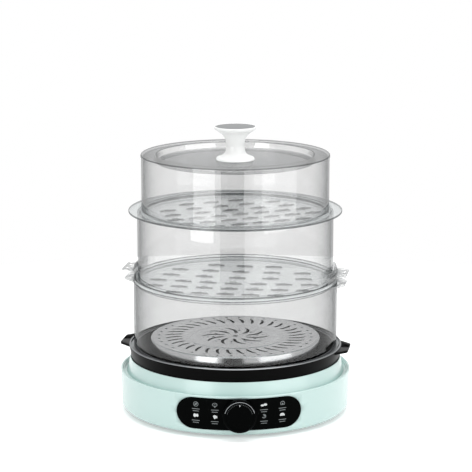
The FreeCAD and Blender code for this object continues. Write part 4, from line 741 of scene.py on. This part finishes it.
def swirled(name, inner, outer, width, swirl, low, high):
    """Slot along +X that bends towards its outer end, as a closed solid."""
    steps = 8
    left, right = [], []
    for i in range(steps + 1):
        share = i / steps
        radius = inner + (outer - inner) * share
        turn = math.radians(swirl * share * share)
        half = width / 2 * math.sqrt(max(0.0, 1 - abs(2 * share - 1) ** 5))
        x, y = radius * math.cos(turn), radius * math.sin(turn)
        left.append((x - half * math.sin(turn), y + half * math.cos(turn), 0))
        right.append((x + half * math.sin(turn), y - half * math.cos(turn), 0))
    return plate(name, left[:-1] + right[::-1][:-1], low, high)


# Stainless steel sheet, stamped and polished, with faint turning marks.
polished = surface("stainless_steel_stamped_polished", "#DADCDD", 0.16, metal=1.0, mottle=0.06, mottle_mm=18,
                   grain_mm=0.5, grain=0.05, spread=0.1)
# The same sheet on its sheared edges: dull as sheared, and dark as painted shade in the slots.
sheared_edge_and_shade = surface("stainless_steel_sheared_edge", "#303132", 0.6, metal=1.0, mottle=0.2, mottle_mm=4,
                  grain_mm=0.3)
top, sunk, sheet, edge = RACK["top"], RACK["sunk"], RACK["sheet"], RACK["radius"]
a, b, c, d = RACK["bead"]
e, f = RACK["margin"]
disc = lathe("rack_disc", [
    (0, top - sunk, 0),
    (a, top - sunk, 1.0),
    (b, top, 1.0),
    (c, top, 1.0),
    (d, top - sunk, 1.0),
    (e, top - sunk, 2.0),
    (f, top, 1.2),
    (edge, top, 2.2),
    (edge + RACK["flare"], RACK["skirt"], 0.1),
    (edge + RACK["flare"] - 0.9, RACK["skirt"], 0.1),
    (edge - 0.9, top - sheet, 1.3),
    (f, top - sheet, 1.0),
    (e, top - sunk - sheet, 1.0),
    (d, top - sunk - sheet, 1.0),
    (c, top - sheet, 1.0),
    (b, top - sheet, 1.0),
    (a, top - sunk - sheet, 1.0),
    (0, top - sunk - sheet, 0),
], polished, steps=216, soft=4)
low, high = top - 4, top + 2
cutters = [(swirled("slot", *sizes, low, high), count, start) for *sizes, count, start in RACK_SLOTS]
for radius, circle, count, start, steps in RACK_HOLES:
    cutters += [(bore(radius, low, high, steps, circle), count, start)]
# The walls of the slots and holes take the dark steel: painted shade.
for cutter, count, start in cutters:
    run(cutter, polar, Count=count, Start_Angle=math.radians(start), Material=sheared_edge_and_shade)
    carve(disc, cutter)
smooth(disc.data)
settle(disc, "rack", "rack_steel", "steam_rack")
settle(from_cad("rack_leg_set", "rack_legs", polished), "rack", "rack_steel", "rack_legs")

# Lower tier
# Clear open cylinder that stands on the pan's ledge, with a tab and a gusset
# at each side. Injection moulded polycarbonate.

TIER = {"low": 86.6, "high": 172.5, "outer": 132.5, "wall": 2.3}
TAB = {"angle": 15.0, "tip": 144.7, "root_half": 34.3, "tip_half": 15.2, "thick": 2.2, "hole": 1.8,
       "hole_at": 141.0, "round": 4.0}
GUSSET = {"tall": 12.8, "reach": 5.5, "tip": 1.7, "half": 1.2}
# Size in mm of the faint waves in a moulded clear wall.
WAVE = 14.0


def clear(name, tint, edge, haze=0.0, rough=0.03, bump=0.01, mirror_share=0.1):
    """Clear plastic: light passes straight, dims towards grazing, and mirrors."""
    made = bpy.data.materials.new(name)
    made.use_nodes = True
    tree = made.node_tree
    tree.nodes.clear()
    wave = noise(tree, WAVE, detail=2.0)
    relief = add(tree, "ShaderNodeBump", {"Height": wave, "Strength": bump, "Distance": 1.0 * MM}).outputs[0]
    facing = add(tree, "ShaderNodeLayerWeight", {"Blend": 0.5}).outputs["Facing"]
    grazing = math_node(tree, "POWER", facing, 4.0)
    tone = add(tree, "ShaderNodeMix", {"Factor": grazing}, data_type="RGBA")
    tone.inputs[6].default_value = linear(tint)
    tone.inputs[7].default_value = linear(edge)
    through = add(tree, "ShaderNodeBsdfTransparent", {"Color": tone.outputs[2]}).outputs[0]
    milky = add(tree, "ShaderNodeBsdfDiffuse", {"Color": linear("#EEF1F1")}).outputs[0]
    inside = add(tree, "ShaderNodeMixShader", {"Fac": haze, 1: through, 2: milky}).outputs[0]
    mirror = add(tree, "ShaderNodeBsdfGlossy", {"Roughness": rough, "Normal": relief}).outputs[0]
    shine = between(tree, math_node(tree, "POWER", facing, 5.0), mirror_share, 0.5)
    whole = add(tree, "ShaderNodeMixShader", {"Fac": shine, 1: inside, 2: mirror}).outputs[0]
    add(tree, "ShaderNodeOutputMaterial", {"Surface": whole})
    return made


# Clear polycarbonate, moulded against a polished tool.
wall_clear = clear("polycarbonate_moulded_clear", "#FAFAFA", "#989B9C")
# The lower tier's wall, a little darker for the black pan behind it: painted shade, a darker copy of the same
# plastic with a fainter mirror.
low_shade_clear = clear("polycarbonate_moulded_clear_low", "#EFEFEF", "#848788", mirror_share=0.03)
# The same plastic in rims and tabs, where it is thick and looks greyer.
rim_clear = clear("polycarbonate_moulded_thick", "#F6F6F6", "#808485", haze=0.03)
# The same plastic where it turns a sharp edge, made much darker there: painted shade that reads as a dark
# line.
edge_shade_clear = clear("polycarbonate_moulded_edge", "#8E9192", "#5E6162")
# Walls of the slots, a little greyer than the floor they pass through: painted shade.
slot_wall_shade_clear = clear("polycarbonate_moulded_slot_wall", "#BFC2C3", "#84888A", mirror_share=0.05)


def paint_edge_shade(item, *zones):
    """Gives the faces in each (radius, radius, height, height) zone the painted dark edge shade."""
    mesh = item.data
    mesh.materials.append(edge_shade_clear)
    for face in mesh.polygons:
        out, up = face.center.xy.length / MM, face.center.z / MM
        if any(a < out < b and c < up < d for a, b, c, d in zones):
            face.material_index = len(mesh.materials) - 1
    return item


tube = lathe("lower_tier_wall", [
    (TIER["outer"] - TIER["wall"], TIER["low"], 0.5),
    (TIER["outer"], TIER["low"], 0.6),
    (TIER["outer"], TIER["high"], 0.5),
    (TIER["outer"] - TIER["wall"], TIER["high"], 0.5),
], low_shade_clear, steps=256)
# Painted shade: the sharp edges of the wall are dark faces.
paint_edge_shade(tube,
      (130.0, 132.6, TIER["low"] - 0.1, TIER["low"] + 0.5),
      (132.0, 132.6, TIER["high"] - 0.6, TIER["high"] + 0.1))
outer, high = TIER["outer"], TIER["high"]
low = high - TAB["thick"]
root = outer * math.cos(math.radians(TAB["angle"]))
tab = plate("lower_tier_tab", [
    (root, -TAB["root_half"], 0),
    (TAB["tip"], -TAB["tip_half"], TAB["round"]),
    (TAB["tip"], TAB["tip_half"], TAB["round"]),
    (root, TAB["root_half"], 0),
], low, high, rim_clear, bevel=0.4)
carve(tab, bore(outer - 0.05, low - 10, high + 8, 256))
carve(tab, bore(TAB["hole"], low - 10, high + 8, 20, TAB["hole_at"]))
rib = plate("lower_tier_gusset", [
    (outer - 0.1, low - GUSSET["tall"], 0),
    (outer + GUSSET["reach"], low - GUSSET["tip"], 1.5),
    (outer + GUSSET["reach"], low, 0),
    (outer - 0.1, low, 0),
], -GUSSET["half"], GUSSET["half"], rim_clear, bevel=0.3)
rib.data.transform(Matrix.Rotation(math.pi / 2, 4, "X"))
settle(joined("lower_tier_clear", [tube, pair(tab), pair(rib)]), "lower_tier", "clear_plastic", "lower_tier")

# Middle tray
# Slotted floor between the tiers, with a raised rim, a locating ring below, an
# upright guard and a tab at each side. Injection moulded polycarbonate.

TRAY = {"seat": 172.5, "face": 174.3, "rim": 177.4, "outer": 132.0, "inner": 130.0, "floor": 172.7,
        "dish": 2.5, "edge": 123.0, "thick": 2.0, "guide_foot": 168.5, "guard_top": 191.0, "guard_half": 18.0}
SHELF = {"angle": 15.0, "root_half": 34.0, "tip": 146.8, "tip_half": 21.9, "low": 183.3, "high": 185.5,
         "holes_at": 142.7, "hole": 1.8, "pitch": 6.3}
# Each row of slots: distance from the middle, number and spacing.
SLOT_ROWS = (
    (82.5, 3, 39.0), (49.5, 5, 41.0), (16.5, 5, 44.0), (-16.5, 7, 33.0), (-49.5, 7, 32.5), (-82.5, 5, 32.5),
)
SLOT = {"length": 22.0, "width": 2.6, "eye": 3.0, "lip": 0.7}


def rows_tree(rows):
    """Sets copies of its geometry in rows along X, then makes them real."""
    tree, given = new_tree("slot_rows", Scale="Float", Turn="Float")
    joint = add(tree, "GeometryNodeJoinGeometry")
    for y, count, pitch in rows:
        start = add(tree, "ShaderNodeCombineXYZ", {
            "X": math_node(tree, "MULTIPLY", given["Scale"], -(count - 1) / 2 * pitch * MM),
            "Y": math_node(tree, "MULTIPLY", given["Scale"], y * MM),
        }).outputs[0]
        apart = math_node(tree, "MULTIPLY", given["Scale"], pitch * MM)
        step = add(tree, "ShaderNodeCombineXYZ", {"X": apart}).outputs[0]
        row = add(tree, "GeometryNodeMeshLine", {"Count": count, "Start Location": start, "Offset": step})
        tree.links.new(row.outputs[0], joint.inputs[0])
    copies = add(tree, "GeometryNodeInstanceOnPoints", {
        "Points": joint.outputs[0], "Instance": given["Geometry"],
    })
    real = add(tree, "GeometryNodeRealizeInstances", {0: copies.outputs[0]}).outputs[0]
    turn = add(tree, "ShaderNodeCombineXYZ", {"Z": given["Turn"]}).outputs[0]
    turned = add(tree, "GeometryNodeTransform", {"Geometry": real, "Rotation": turn}).outputs[0]
    done = add(tree, "GeometryNodeSetMaterial", {
        "Geometry": turned, "Material": given["Material"],
    }).outputs[0]
    add(tree, "NodeGroupOutput", {0: done})
    return tree


slot_rows = rows_tree(SLOT_ROWS)


def slotted(item, low, high, scale, turn, finish, lip):
    """Cuts the rows of slots through a tray and sets a raised lip round each."""
    # The cut slot walls take the greyer clear: painted shade.
    for cutter in (
        capsule("cutter", SLOT["length"], SLOT["width"], low, high),
        bore(SLOT["eye"], low, high, 20),
    ):
        run(cutter, slot_rows, Scale=scale, Turn=math.radians(turn), Material=slot_wall_shade_clear)
        carve(item, cutter)
    for face in item.data.polygons:
        if abs(face.normal.z) > 0.99:
            face.use_smooth = False
    eye, crest = SLOT["eye"], lip + SLOT["lip"]
    bead = lathe("bead", [
        (eye, lip - 0.3, 0), (eye + 1.3, lip - 0.3, 0), (eye + 1.2, crest, 0.3), (eye + 0.1, crest, 0.3),
    ], steps=24)
    run(bead, slot_rows, Scale=scale, Turn=math.radians(turn), Material=finish)
    return bead


# Tray floor: the same plastic with a fine matt texture that catches light.
floor_clear = clear("polycarbonate_moulded_textured", "#FAFBFB", "#E6E9EA", haze=0.1, rough=0.08, bump=0.02)
dish, under = TRAY["dish"], TRAY["floor"] - TRAY["thick"]
pressing = lathe("middle_tray_floor", [
    (0, under - dish, 0),
    (TRAY["edge"] + TRAY["thick"], under, 1.0),
    (TRAY["edge"] + TRAY["thick"], TRAY["seat"], 0.2),
    (127.4, TRAY["seat"], 0.2),
    (127.8, TRAY["guide_foot"], 0.3),
    (129.4, TRAY["guide_foot"], 0.4),
    (129.6, TRAY["seat"], 0.2),
    (TRAY["outer"], TRAY["seat"], 0.3),
    (TRAY["outer"], TRAY["rim"], 0.8),
    (TRAY["inner"], TRAY["rim"], 0.8),
    (TRAY["inner"], TRAY["face"], 0.4),
    (123.6, TRAY["face"], 0.4),
    (TRAY["edge"], TRAY["floor"], 0.6),
    (0, TRAY["floor"] - dish, 0),
], floor_clear, steps=224)
# Painted shade: the sharp edges of the tray are dark faces.
paint_edge_shade(pressing,
      (131.2, 132.1, TRAY["seat"] - 0.1, TRAY["seat"] + 0.7),
      (129.9, 132.1, TRAY["rim"] - 0.7, TRAY["rim"] + 0.1),
      (127.6, 129.7, TRAY["guide_foot"] - 0.1, TRAY["guide_foot"] + 0.6))
beads = slotted(pressing, 164.0, 176.0, 1.0, LUG_TURN, rim_clear, 171.6)
guard = lathe("tray_guard", [
    (TRAY["inner"], TRAY["rim"] - 0.5, 0),
    (TRAY["outer"], TRAY["rim"] - 0.5, 0),
    (TRAY["outer"], TRAY["guard_top"], 0.8),
    (TRAY["inner"], TRAY["guard_top"], 0.8),
], rim_clear, steps=36, sweep=2 * TRAY["guard_half"], start=-TRAY["guard_half"])
root = (TRAY["outer"] - 0.5) * math.cos(math.radians(SHELF["angle"]))
low, high = SHELF["low"], SHELF["high"]
shelf = plate("tray_tab", [
    (root, -SHELF["root_half"], 0),
    (SHELF["tip"], -SHELF["tip_half"], TAB["round"]),
    (SHELF["tip"], SHELF["tip_half"], TAB["round"]),
    (root, SHELF["root_half"], 0),
], low, high, rim_clear, bevel=0.4)
carve(shelf, bore(TRAY["outer"] - 0.05, low - 3, high + 4, 224))
for turn in (-SHELF["pitch"], 0.0, SHELF["pitch"]):
    x = SHELF["holes_at"] * math.cos(math.radians(turn))
    y = SHELF["holes_at"] * math.sin(math.radians(turn))
    carve(shelf, bore(SHELF["hole"], low - 3, high + 4, 20, x, y))
tray = joined("middle_tray_clear", [pressing, beads, pair(guard), pair(shelf)])
settle(tray, "middle_tray", "clear_plastic", "middle_tray")

# Upper tier
# Second clear cylinder, a little narrower, standing inside the middle tray's
# rim. Injection moulded polycarbonate.

UPPER = {"low": 174.3, "high": 263.2, "outer": 127.0, "wall": 2.3}
outer, inner, low, high = UPPER["outer"], UPPER["outer"] - UPPER["wall"], UPPER["low"], UPPER["high"]
shell = lathe("upper_tier_clear", [
    (inner, low, 0.5), (outer, low, 0.6), (outer, high, 0.5), (inner, high, 0.5),
], wall_clear, steps=256)
# Painted shade: the sharp edges of the wall are dark faces.
paint_edge_shade(shell,
      (inner - 0.1, outer + 0.1, low - 0.1, low + 0.6),
      (outer - 0.5, outer + 0.1, high - 0.6, high + 0.1))
settle(shell, "upper_tier", "clear_plastic", "upper_tier")

# Upper tray
# Slotted floor under the lid with a wide flat flange to lift it by and a low
# ring that centres the lid. Injection moulded polycarbonate.

UPPER_TRAY = {"seat": 263.2, "face": 265.6, "floor": 261.6, "under": 259.6, "outer": 138.2,
              "ring_top": 267.5, "ring": (123.4, 125.4), "guide_foot": 259.8, "edge": 116.5}
inner, outer = UPPER_TRAY["ring"]
seat, face, foot = UPPER_TRAY["seat"], UPPER_TRAY["face"], UPPER_TRAY["guide_foot"]
pressing = lathe("upper_tray_floor", [
    (0, UPPER_TRAY["under"], 0),
    (118.5, UPPER_TRAY["under"], 1.0),
    (119.1, seat, 0.2),
    (122.5, seat, 0.2),
    (122.6, foot, 0.3),
    (124.0, foot, 0.4),
    (124.1, seat, 0.2),
    (UPPER_TRAY["outer"], seat, 0.5),
    (UPPER_TRAY["outer"], face, 0.9),
    (outer, face, 0.3),
    (outer, UPPER_TRAY["ring_top"], 0.6),
    (inner, UPPER_TRAY["ring_top"], 0.6),
    (inner, face, 0.3),
    (UPPER_TRAY["edge"] + 0.6, face, 0.5),
    (UPPER_TRAY["edge"], UPPER_TRAY["floor"], 0.8),
    (0, UPPER_TRAY["floor"], 0),
], floor_clear, steps=224)
# Painted shade: the sharp edges of the tray are dark faces.
paint_edge_shade(pressing,
      (137.6, 138.3, seat - 0.1, face + 0.1),
      (122.4, 124.1, foot - 0.1, foot + 0.6),
      (116.4, 117.2, UPPER_TRAY["floor"] - 0.1, face - 0.6))
beads = slotted(pressing, 256.0, 268.0, 0.919, LUG_TURN + 34.0, rim_clear, UPPER_TRAY["floor"])
tray = joined("upper_tray_clear", [pressing, beads])
settle(tray, "upper_tray", "clear_plastic", "upper_tray")

# Lid
# Tall clear lid with a flat margin, a sunk middle and a steam vent. Injection
# moulded polycarbonate, with the knob screwed through its middle.

LID = {"low": 265.6, "top": 337.8, "outer": 121.3, "shoulder": 122.0, "wall": 2.3,
       "dish": 329.8, "dish_out": 102.4, "bore": 2.2}
VENT = {"length": 16.0, "width": 3.4, "from_middle": 108.0, "angle": 75.0}
outer, shoulder, wall = LID["outer"], LID["shoulder"], LID["wall"]
low, high, dish = LID["low"], LID["top"], LID["dish"]
cover = lathe("lid_shell", [
    (outer - wall, low, 0.5),
    (outer, low, 0.5),
    (outer, high - 4.2, 0.2),
    (shoulder, high - 3.5, 0.2),
    (shoulder, high, 1.6),
    (LID["dish_out"], high, 1.2),
    (100.8, dish, 1.2),
    (LID["bore"], dish, 0),
    (LID["bore"], dish - wall, 0),
    (103.1, dish - wall, 2.5),
    (104.7, high - wall, 0.6),
    (outer - wall, high - wall, 1.2),
], wall_clear, steps=256)
vent = capsule("vent", VENT["length"], VENT["width"], high - 7.8, high + 2.2)
across = Matrix.Rotation(math.pi / 2, 4, "Z")
outward = Matrix.Translation((VENT["from_middle"] * MM, 0, 0))
vent.data.transform(Matrix.Rotation(math.radians(VENT["angle"]), 4, "Z") @ outward @ across)
carve(cover, vent)
smooth(cover.data)
# Painted shade: the sharp edges of the lid are dark faces.
paint_edge_shade(cover,
      (outer - 0.3, shoulder + 0.1, high - 2.4, high - 0.1),
      (outer - wall - 0.1, outer + 0.1, low - 0.1, low + 0.6),
      (100.6, 102.6, high - 0.9, high + 0.1))
settle(cover, "lid", "clear_plastic", "lid")
paint("lid_washer", rubber)
paint("lid_screw", zinc)

# Lid knob
# Trumpet-shaped knob on a flared foot, closed by a satin disc. Moulded in
# glossy white polypropylene in two pieces, pulled together by the lid's screw.

# White polypropylene, glossy.
white_pp = surface("polypropylene_moulded_white", "#FCFDFC", 0.22, mottle=0.02, mottle_mm=20, grain_mm=1.2,
                   grain=0.015, coat=0.2)
# Satin grey disc pressed into the top.
grey_pp = surface("polypropylene_moulded_satin_grey", "#6F7172", 0.42, mottle=0.04, mottle_mm=8,
                  grain_mm=0.3, grain=0.1)
KNOB_TOP = {"foot": 25.4, "waist": 11.8, "join": 347.7, "flare": 27.0, "high": 373.2, "seat": 371.6,
            "disc": 25.6, "disc_top": 372.8, "screw": 2.05}
join, high, seat = KNOB_TOP["join"], KNOB_TOP["high"], KNOB_TOP["seat"]
settle(lathe("lid_knob_flare", [
    (LID["bore"], dish, 0),
    (KNOB_TOP["foot"], dish, 0.8),
    (24.2, 333.2, 3.0),
    (13.0, 337.3, 10.0),
    (KNOB_TOP["waist"], join, 0.3),
    (LID["bore"], join, 0),
], white_pp, steps=96, soft=10), "lid", "lid_knob_white", "lid_knob_foot")
settle(lathe("lid_knob_trumpet", [
    (KNOB_TOP["screw"], join, 0),
    (KNOB_TOP["waist"], join, 0.3),
    (12.8, 360.4, 18.0),
    (KNOB_TOP["flare"], 369.8, 2.0),
    (KNOB_TOP["flare"], high, 0.7),
    (KNOB_TOP["disc"] + 0.05, high, 0.3),
    (KNOB_TOP["disc"] + 0.05, seat, 0),
    (0, seat, 0),
    (0, 355.9, 0),
    (KNOB_TOP["screw"], 355.9, 0),
], white_pp, steps=96, soft=10), "lid", "lid_knob_white", "lid_knob_top")
settle(lathe("lid_knob_disc", [
    (0, seat, 0),
    (KNOB_TOP["disc"], seat, 0),
    (KNOB_TOP["disc"], KNOB_TOP["disc_top"], 0.4),
    (0, KNOB_TOP["disc_top"], 0),
], grey_pp, steps=96), "lid", "lid_knob_grey", "lid_knob_cap")

# Floor, lights
# White floor and white surround, two large soft lamps at the sides, one above
# and a black card behind the camera.

FLOOR_RADIUS = 0.95
FLOOR_GLOW = 0.32
scene = bpy.context.scene


def looked_at(tree):
    """1 for rays that lead to the camera straight, by a mirror or through plastic."""
    path = add(tree, "ShaderNodeLightPath").outputs
    seen = math_node(tree, "ADD", path["Is Camera Ray"], path["Is Transmission Ray"], clamp=True)
    return math_node(tree, "ADD", seen, path["Is Glossy Ray"], clamp=True)


# Matt white paper floor, brighter to the eye than the light it sends on.
paper = surface("paper_matt_white", "#F7F8F8", 0.9, mottle=0.01, mottle_mm=200, grain_mm=2.0, grain=0.02)
tree = paper.node_tree
shade = next(n for n in tree.nodes if n.type == "BSDF_PRINCIPLED")
shade.inputs["Emission Color"].default_value = (1.0, 1.0, 1.0, 1.0)
tree.links.new(math_node(tree, "MULTIPLY", looked_at(tree), FLOOR_GLOW), shade.inputs["Emission Strength"])
work = bmesh.new()
bmesh.ops.create_circle(work, cap_ends=True, segments=96, radius=FLOOR_RADIUS)
ground = new_object("studio_floor", work, paper, curved=False)


def lamp(name, place, aim, width, tall, watts):
    data = bpy.data.lights.new(name, "AREA")
    data.shape = "RECTANGLE"
    data.size, data.size_y = width, tall
    data.energy = watts
    item = bpy.data.objects.new(name, data)
    scene.collection.objects.link(item)
    item.location = place
    item.rotation_euler = (Vector(aim) - Vector(place)).to_track_quat("-Z", "Y").to_euler()
    return item


lamp("soft_left", (-1.5, -1.8, 0.7), (0, 0, 0.2), 1.2, 1.5, 14)
lamp("soft_right", (1.9, -1.4, 0.8), (0, 0, 0.2), 2.2, 1.5, 17)
lamp("soft_top", (0.1, 0.0, 1.8), (0, 0, 0), 2.0, 2.0, 30)

# Black felt card behind the camera, which keeps the glossy fronts dark.
felt = surface("felt_black", "#0A0A0A", 0.95, mottle=0.2, mottle_mm=30, grain_mm=3.0, grain=0.1, specular=0.1)
work = bmesh.new()
bmesh.ops.create_grid(work, x_segments=2, y_segments=2, size=1.0)
place = Matrix.Translation((-0.3, -3.0, 0.6)) @ Matrix.Rotation(math.pi / 2, 4, "X")
bmesh.ops.transform(work, verts=work.verts, matrix=place @ Matrix.Diagonal((0.75, 1.6, 1.0, 1.0)))
card = new_object("black_card", work, felt, curved=False)
card.visible_diffuse = False
card.visible_camera = False
card.visible_transmission = False

world = bpy.data.worlds.new("studio_white")
scene.world = world
world.use_nodes = True
tree = world.node_tree
tree.nodes.clear()
glow = add(tree, "ShaderNodeBackground", {"Color": (1.0, 1.0, 1.0, 1.0), "Strength": 0.48})
shown = add(tree, "ShaderNodeBackground", {"Color": (1.0, 1.0, 1.0, 1.0), "Strength": 1.0})
mixed = add(tree, "ShaderNodeMixShader", {"Fac": looked_at(tree), 1: glow.outputs[0], 2: shown.outputs[0]})
add(tree, "ShaderNodeOutputWorld", {"Surface": mixed.outputs[0]})

# Camera
# Long lens from the front, slightly above, as in the photograph.

view = bpy.data.cameras.new("camera")
view.sensor_width = 36.0
view.lens = 152.92
view.clip_end = 50.0
camera = bpy.data.objects.new("camera", view)
scene.collection.objects.link(camera)
camera.location = (-0.08806, -2.54743, 0.753)
camera.rotation_euler = (math.radians(90 - 11.61), 0.0, math.radians(-2.0))
scene.camera = camera
scene.view_settings.view_transform = "Standard"
scene.cycles.max_bounces = 16
scene.cycles.transparent_max_bounces = 40
